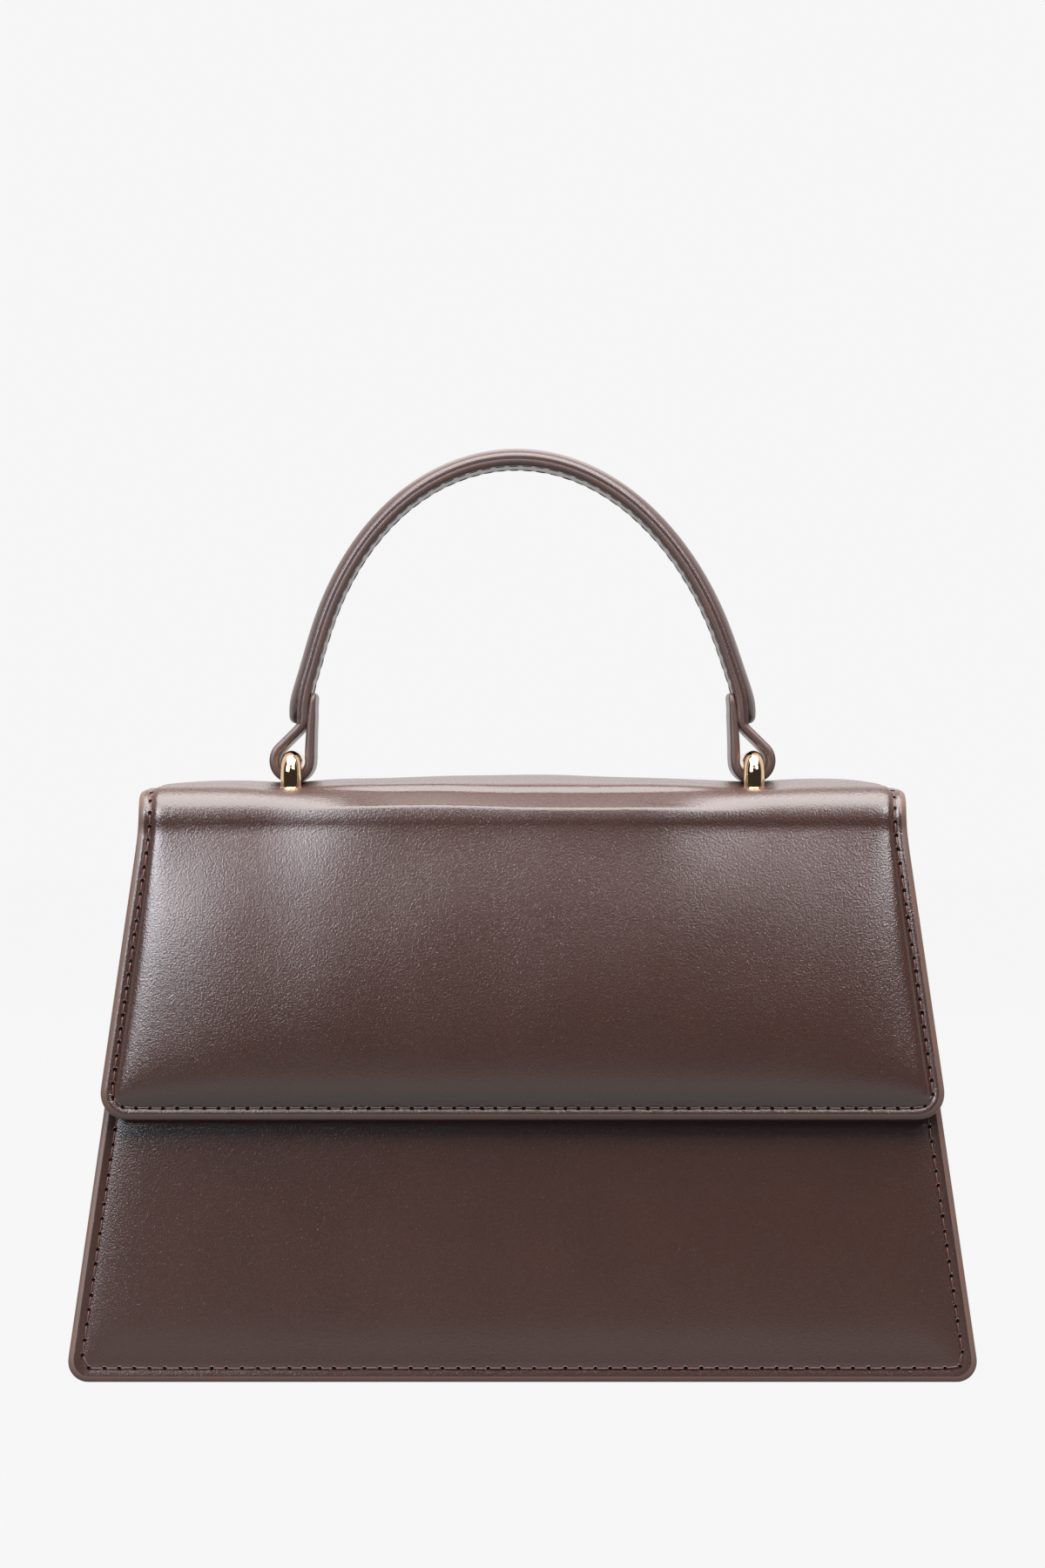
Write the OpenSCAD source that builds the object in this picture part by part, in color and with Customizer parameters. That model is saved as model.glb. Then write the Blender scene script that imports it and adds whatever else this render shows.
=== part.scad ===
// Leather satchel with a front flap and an arched top handle on two metal rings.
// X runs across the width, -Y is the front, +Z is up and the floor is z = 0.

/* [Body] */
// Width of the panels at the floor, before their corners are rounded
base_w = 264; // [230:1:300]
// Width of the bag at the height of its top
top_w = 218; // [196:1:240]
// Height of the bag to the top face of the flap
body_h = 171; // [156:1:190]
// Depth over the two panels at the floor
base_d = 84; // [76:1:96]
// Depth over the two panels at the height of the top
top_d = 50; // [47:1:58]
// Radius of the panels' bottom corners
corner_r = 7; // [5:0.5:12]
// Thickness of the panels' leather
panel_t = 1.6; // [1.2:0.1:2]
// Thickness of the board behind each panel
board_t = 1; // [0.8:0.1:1.4]
// Thickness of the lining
lining_t = 0.8; // [0.6:0.1:1.2]
// Distance from the bag's top down to the upper edge of the front panel
front_drop = 13; // [11:0.5:20]

/* [Gusset] */
// Thickness of the gusset's leather
gusset_t = 1.2; // [0.9:0.1:1.6]
// How far the panels stand out past the gusset
gusset_inset = 7; // [5:0.5:9]
// How far the side gussets fold inwards at their top
gusset_fold = 12; // [6:0.5:16]
// Distance from the bag's top down to the top of the side gussets
gusset_drop = 17; // [15:0.5:26]
// Thickness of the board on the bag's base
base_board_t = 1.5; // [1:0.1:2.5]

/* [Flap] */
// Height of the flap's lower edge above the floor
hem_z = 75.5; // [66:0.5:84]
// How far the flap's sides stand out past the panels
flap_over = 1.3; // [0:0.1:2.5]
// Radius of the flap's lower corners
flap_corner_r = 9; // [6:0.5:14]
// Thickness of the flap's outer leather
flap_leather_t = 1.3; // [1:0.1:1.6]
// Width of the stitched rim round the padding
flap_rim_w = 6; // [4:0.5:9]
// Space between the flap's lining and the front panel
flap_gap = 2.4; // [2:0.1:4]
// Outer radius of the fold at the front of the top
front_fold_r = 11; // [9:0.5:14]
// Outer radius of the fold at the back of the top
back_fold_r = 8; // [6:0.5:9]
// How far the flap and the back panel's turned edge overlap
hinge_lap = 10; // [7:0.5:12]

/* [Closure] */
// Diameter of the two magnet discs
magnet_d = 18; // [12:0.5:24]
// Height of the magnets above the flap's lower edge
magnet_up = 22; // [16:1:32]
// Diameter of the magnets' rivet shanks
magnet_shank_d = 4; // [3:0.5:6]
// Thickness of the washers that hold the magnets
magnet_washer_t = 0.7; // [0.5:0.1:0.9]

/* [Rings] */
// Distance between the two rings
ring_span = 137; // [116:1:150]
// Height of the rings above the leather
ring_h = 11.3; // [11:0.1:15]
// Thickness of the rings' bar
ring_bar_d = 6; // [4:0.1:6.2]
// Radius of the rings' bends, to the middle of the bar
ring_bend_r = 3.8; // [3.3:0.1:4.4]
// Diameter of the foot collars
ring_foot_d = 7; // [6.4:0.1:8]
// Height of the foot collars
ring_foot_h = 0.8; // [0.5:0.1:1.4]
// Diameter of the ring screws
screw_d = 3; // [2:0.1:3.2]
// Diameter of the screw heads
screw_head_d = 5.4; // [4:0.1:6.5]
// Height of the screw heads
screw_head_h = 1.3; // [0.8:0.1:2]
// Length of screw in the ring's leg
screw_bite = 4.6; // [3:0.2:5.5]
// Thickness of the plates under the rings
ring_plate_t = 1; // [0.8:0.1:1.5]
// Width of the plates under the rings
ring_plate_w = 9; // [7:0.5:12]

/* [Handle] */
// Width of the strap
strap_w = 19; // [14:0.5:20]
// Thickness of the strap
strap_t = 2.7; // [2:0.1:3]
// Rise of the strap's middle line above the ring bars
handle_rise = 89; // [75:1:105]
// How far the arch's feet lie inwards of the rings
foot_inset = 3.5; // [2.6:0.1:4.2]
// Height of the arch's lowest point above the ring bars
knee_up = 12.5; // [12:0.5:15]
// Height of the tab ends above the ring bars
tab_up = 19; // [17:0.5:24]
// Thickness of the tab ends, which are pared down
tab_t = 1.9; // [1.4:0.1:2.7]
// Thickness of the leather over the handle's filler
cover_t = 0.6; // [0.5:0.1:1]
// Width of the raised filler
filler_w = 14; // [9:0.5:15.5]
// Height of the raised filler
filler_h = 2.4; // [1.5:0.1:3.5]
// Length of the taper at each end of the filler
filler_taper = 7; // [4:0.5:12]

/* [Pocket] */
// Width of the slip pocket
pocket_w = 120; // [90:1:150]
// Height of the slip pocket
pocket_h = 75; // [55:1:90]
// Space inside the slip pocket when it lies flat
pocket_d = 0.6; // [0.4:0.1:2]
// Distance from the bag's floor up to the pocket
pocket_up = 45; // [30:1:52]

/* [Hidden] */
$fn = 48;
// Overrun of every cut
over = 1;
// Glue line between parts that are built from separate points
glue = 0.05;
// Gap between parts that move against each other
fold_gap = 0.3;
// Radial clearance of a screw or a rivet in its hole
hole_clear = 0.05;
// Clearance round the inner boards and linings
board_clear = 0.3;
// Smallest corner radius left by an inset
corner_min = 1;
// Clearance between the strap and the legs of a ring
strap_side_clear = 0.8;
// Clearance between the ring's bar and the loop of the strap
loop_clear = 0.95;
// Gap between the two magnet discs
magnet_gap = 0.4;
// Thickness of the leather of the slip pocket
pocket_t = 1;
// Width of the slip pocket's stitched sides
pocket_rim = 4;

// The lean of a panel and the slope of its sides
lean_k = (base_d - top_d) / 2 / body_h;
lean = atan(lean_k);
side_k = (base_w - top_w) / 2 / body_h;
side_a = atan(side_k);

front_top = body_h - front_drop;
gusset_top = body_h - gusset_drop;
// The padding and the top board fill the layer that the back leather's edge is sewn into
flap_pad_t = panel_t;
flap_t = flap_leather_t + flap_pad_t + lining_t;
flap_out = flap_gap + flap_t;
inner_t = panel_t + board_t + lining_t;
base_z = gusset_inset;
base_board_z = base_z + gusset_t;
base_lining_z = base_board_z + base_board_t;
board_inset = gusset_inset + gusset_t + board_clear;
magnet_z = hem_z + magnet_up;
magnet_t = (flap_gap - magnet_gap) / 2;

// Heights of the layers of the top
strip_z = body_h - flap_leather_t;
under_z = strip_z - flap_pad_t;
top_under_z = under_z - lining_t;

// Centres of the two folds, as [distance from the middle, height]
front_c = [
    face_y(body_h - front_fold_r, flap_out) - front_fold_r / cos(lean),
    body_h - front_fold_r
];
back_c = [
    face_y(strip_z - back_fold_r, 0) - back_fold_r / cos(lean),
    strip_z - back_fold_r
];
fold_mid = (lean + 90) / 2;
// Back edge of the flap's leather, just before the back fold
flap_back_y = back_c[0] - glue;

// The rings stand on the middle of the flat top
ring_x = ring_span / 2;
ring_y = (back_c[0] - front_c[0]) / 2;
ring_leg = strap_w / 2 + strap_side_clear + ring_bar_d / 2;
bar_z = body_h + ring_h - ring_bar_d / 2;

// The strap's middle line, as [x, z] from the middle of the bag and the ring bars
loop_r = ring_bar_d / 2 + loop_clear + strap_t / 2;
arch_a = ring_x - foot_inset;
knee_angle = 47;
knee_t = asin(knee_up / handle_rise);
arch_steps = 40;
loop_steps = 20;
knee_steps = 8;
tab_gap = 0.1;
tab_steps = 8;

fold_columns = 4;
fold_rows = 8;
dome_steps = 7;

// Distance from the middle of the bag to a plane that lies off a panel's outer face
function face_y(z, off) = base_d / 2 - lean_k * z + off / cos(lean);

// Half the width of the bag at a height
function half_w(z) = base_w / 2 - side_k * z;

// A point on a circle in a plane
function polar(c, r, a) = [c[0] + r * cos(a), c[1] + r * sin(a)];

function reverse(list) = [for (i = [len(list) - 1:-1:0]) list[i]];

// A 2D shape of [y, z] made solid along X
module along_x(width) {
    rotate([90, 0, 90])
        linear_extrude(height = width, center = true)
            children();
}

// A 2D shape of [x, z] made solid along Y
module along_y(depth) {
    rotate([90, 0, 0])
        linear_extrude(height = depth, center = true)
            children();
}

// Turns a solid made for the back half of the bag to the front
module to_front() {
    mirror([0, 1, 0])
        children();
}

// The outline of a panel in [x, z], drawn in by an inset, with round bottom corners
module outline(z0, z1, r, inset = 0, wide = 0) {
    rr = max(r - inset, corner_min);
    edge = (inset + rr) / cos(side_a) - wide;
    low = z0 + inset + rr;
    high = 2 * body_h;
    intersection() {
        offset(r = rr)
            polygon([
                [edge - half_w(low), low], [half_w(low) - edge, low],
                [half_w(high) - edge, high], [edge - half_w(high), high]
            ]);
        translate([-base_w, z1 - 2 * base_w])
            square(2 * base_w);
    }
}

// A layer of a leaning panel in [y, z], between two distances from its outer face
module slab(off_out, off_in, z0, z1) {
    polygon([
        [face_y(z0, off_out), z0], [face_y(z1, off_out), z1],
        [face_y(z1, off_in), z1], [face_y(z0, off_in), z0]
    ]);
}

// The side view, in [y, z], of all that lies within a fold, behind the leaning face below
// it and under the flat top beside it
module fold_side(c, r) {
    offset(r = r)
        polygon([
            c, [-base_d, c[1]], [-base_d, -base_d], [c[0] + lean_k * (c[1] + base_d), -base_d]
        ]);
}

// What a layer with an outer and an inner radius takes of the fold's side view
module fold_layer(c, r_out, r_in) {
    difference() {
        fold_side(c, r_out);
        fold_side(c, r_in);
    }
}

// A layer that leans up to a fold and turns over it as far as an angle
module leaning_layer(c, r_out, r_in, z0, a) {
    intersection() {
        fold_layer(c, r_out, r_in);
        polygon([c, [c[0], z0], [c[0] + base_d, z0], polar(c, 2 * base_d, a)]);
    }
}

// A layer that lies flat and turns down over a fold, from an angle upwards
module flat_layer(c, r_out, r_in, y0, a) {
    intersection() {
        fold_layer(c, r_out, r_in);
        polygon([c, polar(c, 2 * base_d, a), [y0, c[1] + 2 * base_d], [y0, c[1]]]);
    }
}

// Half the angle that the gap in the middle of a fold takes
function gap_a(r) = fold_gap / 2 / r * 180 / PI;

// A solid between rings of points. Each ring runs out along one side of its section and
// back along the other, so that its first point lies across from its last
module loft(rings) {
    n = len(rings[0]);
    last = (len(rings) - 1) * n;
    polyhedron(
        points = [for (ring = rings) each ring],
        faces = [
            for (i = [0:n / 2 - 2]) [i, i + 1, n - 2 - i, n - 1 - i],
            for (i = [0:n / 2 - 2])
                [last + n - 1 - i, last + n - 2 - i, last + i + 1, last + i],
            for (k = [0:len(rings) - 2], i = [0:n - 1])
                let (a = k * n + i, b = k * n + (i + 1) % n)
                each i < n / 2 - 1
                    ? [[b, a, a + n], [b, a + n, b + n]]
                    : [[b, a, b + n], [a, a + n, b + n]]
        ]
    );
}

// Puts a solid that points along +Z square on the front face, on an axis through one height
module on_front(z, off) {
    translate([0, -face_y(z, 0), z])
        rotate([90 - lean, 0, 0])
            translate([0, 0, off])
                children();
}

// Front and back panels

module front_panel() {
    color("#523a35")
        difference() {
            intersection() {
                to_front()
                    along_x(base_w)
                        slab(0, -panel_t, 0, front_top);
                along_y(2 * base_d)
                    outline(0, front_top, corner_r);
            }
            on_front(magnet_z, -panel_t - over)
                cylinder(d = magnet_shank_d + 2 * hole_clear, h = panel_t + 2 * over);
        }
}

module front_board() {
    color("#8d8478")
        difference() {
            intersection() {
                to_front()
                    along_x(base_w)
                        slab(-panel_t, -panel_t - board_t, base_board_z, front_top - board_clear);
                inner_outline(front_top);
            }
            on_front(magnet_z, -panel_t - board_t - over)
                cylinder(d = magnet_d - 2 * board_t + 2 * board_clear, h = board_t + 2 * over);
        }
}

module front_lining() {
    color("#6b5446")
        intersection() {
            to_front()
                along_x(base_w)
                    slab(-panel_t - board_t, -inner_t, base_board_z, front_top - board_clear);
            inner_outline(front_top);
        }
}

// The outline of the boards and linings that lie between the side gussets
module inner_outline(z1) {
    side = board_inset + gusset_fold * inner_t / (top_d / 2);
    along_y(2 * base_d)
        difference() {
            outline(0, z1, corner_r, side);
            translate([-base_w / 2, 0])
                square([base_w, base_board_z]);
        }
}

module back_panel() {
    color("#523a35")
        intersection() {
            along_x(base_w)
                leaning_layer(back_c, back_fold_r, back_fold_r - panel_t, 0,
                              fold_mid - gap_a(back_fold_r));
            along_y(2 * base_d)
                outline(0, body_h, corner_r);
        }
}

module back_board() {
    color("#8d8478")
        intersection() {
            along_x(base_w)
                slab(-panel_t, -panel_t - board_t, base_board_z, back_c[1]);
            inner_outline(body_h);
        }
}

module back_lining() {
    r_out = back_fold_r - panel_t - board_t;
    color("#6b5446")
        intersection() {
            along_x(base_w)
                leaning_layer(back_c, r_out, r_out - lining_t, base_board_z,
                              fold_mid - gap_a(r_out));
            inner_outline(body_h);
        }
}

// Side gussets: a strip with a flange on each panel that folds softly inwards along its middle

// The fold's depth at a column across the strip, and between two columns
function fold_column(k) = pow(cos(90 * k / fold_columns), 2);
function fold_share(s) =
    let (
        at = abs(s) * fold_columns,
        k = min(floor(at), fold_columns - 1)
    )
    fold_column(k) + (at - k) * (fold_column(k + 1) - fold_column(k));

// The fold's depth at a height and across the strip
function fold_in(z, y) =
    gusset_fold * (z - base_board_z) / (gusset_top - base_board_z)
        * fold_share(y / face_y(z, -panel_t));

// Places across the strip from front to back, between two ends
function across(end) = [
    -end,
    for (k = [1 - fold_columns:fold_columns - 1]) k / fold_columns * end,
    end
];

function gusset_ring(z) =
    let (
        x = half_w(z) - gusset_inset,
        y = face_y(z, -panel_t) - glue,
        g = gusset_t,
        ys = across(y)
    )
    [
        [half_w(z), -y, z],
        for (v = ys) [x - g - fold_in(z, v), v, z],
        [half_w(z), y, z], [half_w(z), y - g / cos(lean), z],
        for (v = reverse(ys))
            let (w = sign(v) * min(abs(v), y - g / cos(lean)))
            [x - fold_in(z, v), w, z],
        [half_w(z), g / cos(lean) - y, z]
    ];

gusset_rows = [
    for (k = [0:fold_rows]) base_board_z + k / fold_rows * (gusset_top - base_board_z)
];

module gusset() {
    color("#4a332e")
        loft([for (z = gusset_rows) gusset_ring(z)]);
}

function gusset_lining_ring(z) =
    let (
        x = half_w(z) - gusset_inset - gusset_t - board_clear,
        ys = [for (v = across(face_y(z, -panel_t) - glue)) v * gusset_lining_share(z)]
    )
    [
        for (v = ys) [x - lining_t - fold_in(z, v), v, z],
        for (v = reverse(ys)) [x - fold_in(z, v), v, z]
    ];

// How much narrower the gusset's lining is than the gusset
function gusset_lining_share(z) = (face_y(z, -inner_t) - board_clear) / face_y(z, -panel_t);

module gusset_lining() {
    color("#6b5446")
        loft([
            for (z = gusset_rows)
                gusset_lining_ring(max(z, base_lining_z + lining_t + glue))
        ]);
}

// Base: a channel with its flanges on the panels, then a board and a lining

module base_flange() {
    intersection() {
        along_x(base_w)
            slab(-panel_t, -panel_t - gusset_t, 0, base_z + gusset_t / 2);
        along_y(2 * base_d)
            outline(0, body_h, corner_r);
    }
}

module base_gusset() {
    web_y = face_y(base_board_z, -panel_t - gusset_t / 2);
    color("#4a332e")
        union() {
            base_flange();
            to_front()
                base_flange();
            translate([-base_web_x, -web_y, base_z])
                cube([2 * base_web_x, 2 * web_y, gusset_t]);
        }
}

base_web_x = half_w(base_board_z) - gusset_inset;

module base_plate(z0, t) {
    x = base_web_x - gusset_t - lining_t - board_clear;
    y = face_y(z0, -inner_t) - board_clear;
    color("#8d8478")
        translate([-x, -y, z0])
            cube([2 * x, 2 * y, t]);
}

module base_board() {
    base_plate(base_board_z, base_board_t);
}

module base_lining() {
    base_plate(base_lining_z, lining_t);
}

// Slip pocket: a leather front on three stitched sides, open at the top
module slip_pocket() {
    z0 = base_lining_z + lining_t + pocket_up;
    color("#5c443a")
        difference() {
            intersection() {
                along_x(pocket_w)
                    slab(-inner_t, -inner_t - pocket_d - pocket_t, z0, z0 + pocket_h);
                translate([-pocket_w / 2, 0, z0])
                    cube([pocket_w, base_d, pocket_h]);
            }
            along_x(pocket_w - 2 * pocket_rim)
                slab(over, -inner_t - pocket_d, z0 + pocket_rim, z0 + pocket_h + over);
        }
}

// Magnets: a disc with a rivet shank, held by a washer on the other side

module magnet(shank) {
    color("#c9a46c")
        union() {
            cylinder(d = magnet_d, h = magnet_t);
            translate([0, 0, -shank])
                cylinder(d = magnet_shank_d, h = shank + magnet_t / 2);
        }
}

module magnet_washer() {
    color("#b9b4a8")
        difference() {
            cylinder(d = magnet_d - 2 * board_t, h = magnet_washer_t);
            translate([0, 0, -over])
                cylinder(d = magnet_shank_d + 2 * hole_clear, h = magnet_washer_t + 2 * over);
        }
}

module panel_magnet() {
    on_front(magnet_z, 0)
        magnet(panel_t + magnet_washer_t);
}

module panel_magnet_washer() {
    on_front(magnet_z, -panel_t - magnet_washer_t)
        magnet_washer();
}

module flap_magnet() {
    on_front(magnet_z, flap_gap)
        mirror([0, 0, 1])
            magnet(lining_t + magnet_washer_t);
}

module flap_magnet_washer() {
    on_front(magnet_z, flap_gap + lining_t)
        magnet_washer();
}

// Front of the flap

// The flap's outline, which the top shares
module flap_outline(inset = 0) {
    along_y(4 * base_d)
        outline(hem_z, body_h + over, flap_corner_r, inset, flap_over);
}

// A layer of the flap between two depths under its face, up to an angle of the front fold
module flap_layer(depth_out, depth_in, a) {
    to_front()
        along_x(base_w)
            leaning_layer(front_c, front_fold_r - depth_out, front_fold_r - depth_in, hem_z, a);
}

flap_end_a = fold_mid - gap_a(front_fold_r);

module flap_leather() {
    color("#553c36")
        difference() {
            intersection() {
                flap_layer(0, flap_leather_t + flap_pad_t, flap_end_a);
                flap_outline();
            }
            intersection() {
                flap_layer(flap_leather_t, flap_t, lean);
                flap_outline(flap_rim_w);
            }
        }
}

module flap_padding() {
    color("#d8d2c4")
        difference() {
            intersection() {
                flap_layer(flap_leather_t + glue, flap_leather_t + flap_pad_t, lean);
                flap_outline(flap_rim_w + glue);
            }
            on_front(magnet_z, flap_gap)
                cylinder(d = magnet_d, h = flap_t);
        }
}

module flap_lining() {
    color("#6b5446")
        difference() {
            intersection() {
                flap_layer(flap_leather_t + flap_pad_t, flap_t, flap_end_a);
                flap_outline();
            }
            on_front(magnet_z, flap_gap - over)
                cylinder(d = magnet_shank_d + 2 * hole_clear, h = lining_t + 2 * over);
        }
}

// Top of the flap

// A layer of the flat top between two places across the depth
module top_layer(y0, y1, z0, z1) {
    translate([-base_w / 2, y0, z0])
        cube([base_w, y1 - y0, z1 - z0]);
}

// A layer of the top from the front fold back to a place across the depth
module front_fold(r_out, r_in, y1) {
    to_front()
        along_x(base_w)
            flat_layer(front_c, r_out, r_in, -y1, fold_mid + gap_a(front_fold_r));
}

// Holes for the screws that hold the rings
module screw_holes(d) {
    for (side = [-1, 1], leg = [-1, 1])
        translate([side * ring_x, ring_y + leg * ring_leg, top_under_z - ring_plate_t - over])
            cylinder(d = d, h = flap_t + ring_plate_t + 2 * over);
}

// The space inside the stitched rim of the top that its board fills
module board_space(inset, y1, z0) {
    intersection() {
        top_layer(-front_c[0], y1, z0, strip_z);
        flap_outline(flap_rim_w + inset);
    }
}

module top_leather() {
    color("#553c36")
        difference() {
            intersection() {
                front_fold(front_fold_r, front_fold_r - flap_leather_t - flap_pad_t, flap_back_y);
                flap_outline();
            }
            board_space(0, strip_front_y + over, under_z - over);
            top_layer(strip_front_y, base_d, under_z - over, strip_z);
            screw_holes(screw_d + 2 * hole_clear);
        }
}

strip_front_y = back_c[0] - hinge_lap;

module top_board() {
    color("#8d8478")
        difference() {
            board_space(glue, strip_front_y - glue, under_z);
            screw_holes(screw_d + 2 * hole_clear);
        }
}

module top_lining() {
    r_front = front_fold_r - flap_leather_t - flap_pad_t;
    r_back = back_fold_r - panel_t;
    color("#6b5446")
        difference() {
            intersection() {
                union() {
                    front_fold(r_front, r_front - lining_t, 0);
                    along_x(base_w)
                        flat_layer(back_c, r_back, r_back - lining_t, -strip_front_y,
                                   fold_mid + gap_a(r_back));
                }
                flap_outline();
            }
            screw_holes(screw_d + 2 * hole_clear);
        }
}

// The back panel's upper edge, turned over the fold and sewn under the flap
module hinge_strip() {
    color("#523a35")
        difference() {
            intersection() {
                along_x(base_w)
                    flat_layer(back_c, back_fold_r, back_fold_r - panel_t, strip_front_y,
                               fold_mid + gap_a(back_fold_r));
                along_y(2 * base_d)
                    outline(0, body_h, corner_r);
            }
            screw_holes(screw_d + 2 * hole_clear);
        }
}

// Rings: a bar bent into a bridge over the strap, with screws up into its two legs

module ring_bar() {
    leg_h = bar_z - ring_bend_r - body_h;
    union() {
        for (leg = [-1, 1])
            translate([0, leg * ring_leg, 0]) {
                translate([0, 0, body_h])
                    cylinder(d = ring_bar_d, h = leg_h);
                translate([0, 0, body_h])
                    cylinder(d = ring_foot_d, h = ring_foot_h);
                translate([0, -leg * ring_bend_r, body_h + leg_h])
                    rotate([90, 0, leg * 90])
                        rotate_extrude(angle = 90)
                            translate([ring_bend_r, 0])
                                circle(d = ring_bar_d);
            }
        translate([0, 0, bar_z])
            rotate([90, 0, 0])
                cylinder(d = ring_bar_d, h = 2 * (ring_leg - ring_bend_r), center = true);
    }
}

module ring(side) {
    color("#d9b27a")
        translate([side * ring_x, ring_y, 0])
            difference() {
                ring_bar();
                for (leg = [-1, 1])
                    translate([0, leg * ring_leg, body_h - over])
                        cylinder(d = screw_d + 2 * hole_clear, h = screw_bite + glue + over);
            }
}

module ring_plate(side) {
    r = ring_plate_w / 2;
    color("#d9b27a")
        difference() {
            translate([side * ring_x, ring_y, top_under_z - ring_plate_t])
                union() {
                    for (leg = [-1, 1])
                        translate([0, leg * ring_leg, 0])
                            cylinder(r = r, h = ring_plate_t);
                    translate([-r, -ring_leg, 0])
                        cube([2 * r, 2 * ring_leg, ring_plate_t]);
                }
            screw_holes(screw_d + 2 * hole_clear);
        }
}

module ring_screws(side) {
    head_z = top_under_z - ring_plate_t - screw_head_h;
    slot = screw_head_h / 2;
    color("#c9a46c")
        for (leg = [-1, 1])
            translate([side * ring_x, ring_y + leg * ring_leg, head_z])
                difference() {
                    union() {
                        cylinder(d = screw_head_d, h = screw_head_h);
                        cylinder(d = screw_d, h = body_h + screw_bite - head_z);
                    }
                    translate([-screw_head_d, -slot / 2, -over])
                        cube([2 * screw_head_d, slot, slot + over]);
                }
}

// Handle

// A point of the arch at an angle from the foot, off the strap's middle line
function arch_point(a, off = 0) =
    let (
        n = [cos(a) / arch_a, sin(a) / handle_rise],
        len_n = norm(n)
    )
    [arch_a * cos(a) + off * n[0] / len_n, handle_rise * sin(a) + off * n[1] / len_n];

function curve(p0, p1, p2, n) = [
    for (i = [0:n])
        let (s = i / n)
        (1 - s) * (1 - s) * p0 + 2 * s * (1 - s) * p1 + s * s * p2
];

// The right foot of the strap, as [x, z, thickness]: from the arch, round the ring's bar
// and up to its tab end
knee_start = arch_point(knee_t);
loop_start = polar([ring_x, 0], loop_r, knee_angle);
knee_mid = [arch_a, loop_start[1] + (loop_start[0] - arch_a) / tan(knee_angle)];
knee_end = knee_mid + norm(knee_mid - knee_start) * [sin(knee_angle), -cos(knee_angle)];
tab_side = (strap_t + tab_t) / 2 + tab_gap;
tab_a0 = asin((knee_up + strap_t / 2) / handle_rise);
tab_a1 = asin(tab_up / handle_rise);

foot_line = [
    for (p = curve(knee_start, knee_mid, knee_end, knee_steps)) [p[0], p[1], strap_t],
    for (i = [0:loop_steps])
        let (p = polar([ring_x, 0], loop_r, knee_angle - i / loop_steps * (knee_angle + 180)))
        [p[0], p[1], strap_t],
    for (i = [0:tab_steps])
        let (p = arch_point(tab_a0 + i / tab_steps * (tab_a1 - tab_a0), -tab_side))
        [p[0], p[1], tab_t]
];

function mirror_x(list) = [for (p = list) [-p[0], p[1], p[2]]];

arch_line = [
    for (i = [1:arch_steps - 1])
        let (p = arch_point(180 - knee_t - i / arch_steps * (180 - 2 * knee_t)))
        [p[0], p[1], strap_t]
];

strap_line = [
    each reverse(mirror_x(foot_line)),
    each arch_line,
    each foot_line
];

// One side of a line of points, moved off it to the left by a share of its thickness
function side_line(line, share) = [
    for (i = [0:len(line) - 1])
        let (
            a = line[max(i - 1, 0)],
            b = line[min(i + 1, len(line) - 1)],
            d = [b[0] - a[0], b[1] - a[1]],
            off = share * line[i][2] / norm(d)
        )
        [line[i][0] - off * d[1], line[i][1] + off * d[0]]
];

module handle_strap() {
    color("#5b423c")
        translate([0, ring_y, bar_z])
            rotate([90, 0, 0])
                linear_extrude(height = strap_w, center = true)
                    polygon([
                        each side_line(strap_line, 1 / 2),
                        each reverse(side_line(strap_line, -1 / 2))
                    ]);
}

// The height of the raised filler along the arch, which tapers at both ends
function dome_share(i) =
    let (s = min(i, arch_steps - i) / arch_steps * arch_length / filler_taper)
    s >= 1 ? 1 : sqrt(max(1 - (1 - s) * (1 - s), 0));

arch_length = PI * sqrt((arch_a * arch_a + handle_rise * handle_rise) / 2)
    * (180 - 2 * knee_t) / 180;

// The raised shape across the strap, as [across, height]
function dome(share, width, height, base) = [
    for (j = [0:dome_steps])
        let (a = 180 - j / dome_steps * 180)
        [width / 2 * cos(a), base + max(share, dome_least_share) * height * sin(a)]
];
dome_least_share = 0.05;

// A ring of points across the strap at a station of the arch
function cover_ring(i, section) =
    let (a = 180 - knee_t - i / arch_steps * (180 - 2 * knee_t))
    [
        for (p = section)
            let (q = arch_point(a, strap_t / 2 + p[1]))
            [q[0], ring_y + p[0], bar_z + q[1]]
    ];

function cover_section(share) = [
    [-strap_w / 2, glue], [-strap_w / 2, cover_t],
    each dome(share, filler_w + 2 * cover_t, filler_h, cover_t),
    [strap_w / 2, cover_t], [strap_w / 2, glue],
    each reverse(dome(share, filler_w, filler_h, glue))
];

function filler_section(share) =
    dome(share, filler_w - 4 * glue, filler_h - 2 * glue, 2 * glue);

module handle_cover() {
    color("#5b423c")
        loft([for (i = [0:arch_steps]) cover_ring(i, cover_section(dome_share(i)))]);
}

module handle_filler() {
    color("#d8d2c4")
        loft([for (i = [1:arch_steps - 1]) cover_ring(i, filler_section(dome_share(i) - glue))]);
}

front_panel();
front_board();
front_lining();
back_panel();
back_board();
back_lining();
mirror([1, 0, 0]) gusset();  // left_gusset
gusset();  // right_gusset
mirror([1, 0, 0]) gusset_lining();  // left_gusset_lining
gusset_lining();  // right_gusset_lining
base_gusset();
base_board();
base_lining();
slip_pocket();
panel_magnet();
panel_magnet_washer();
top_leather();
top_board();
top_lining();
hinge_strip();
ring(-1);  // left_ring
ring(1);  // right_ring
ring_plate(-1);  // left_ring_plate
ring_plate(1);  // right_ring_plate
ring_screws(-1);  // left_ring_screws
ring_screws(1);  // right_ring_screws
flap_leather();
flap_padding();
flap_lining();
flap_magnet();
flap_magnet_washer();
handle_strap();
handle_cover();
handle_filler();
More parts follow.
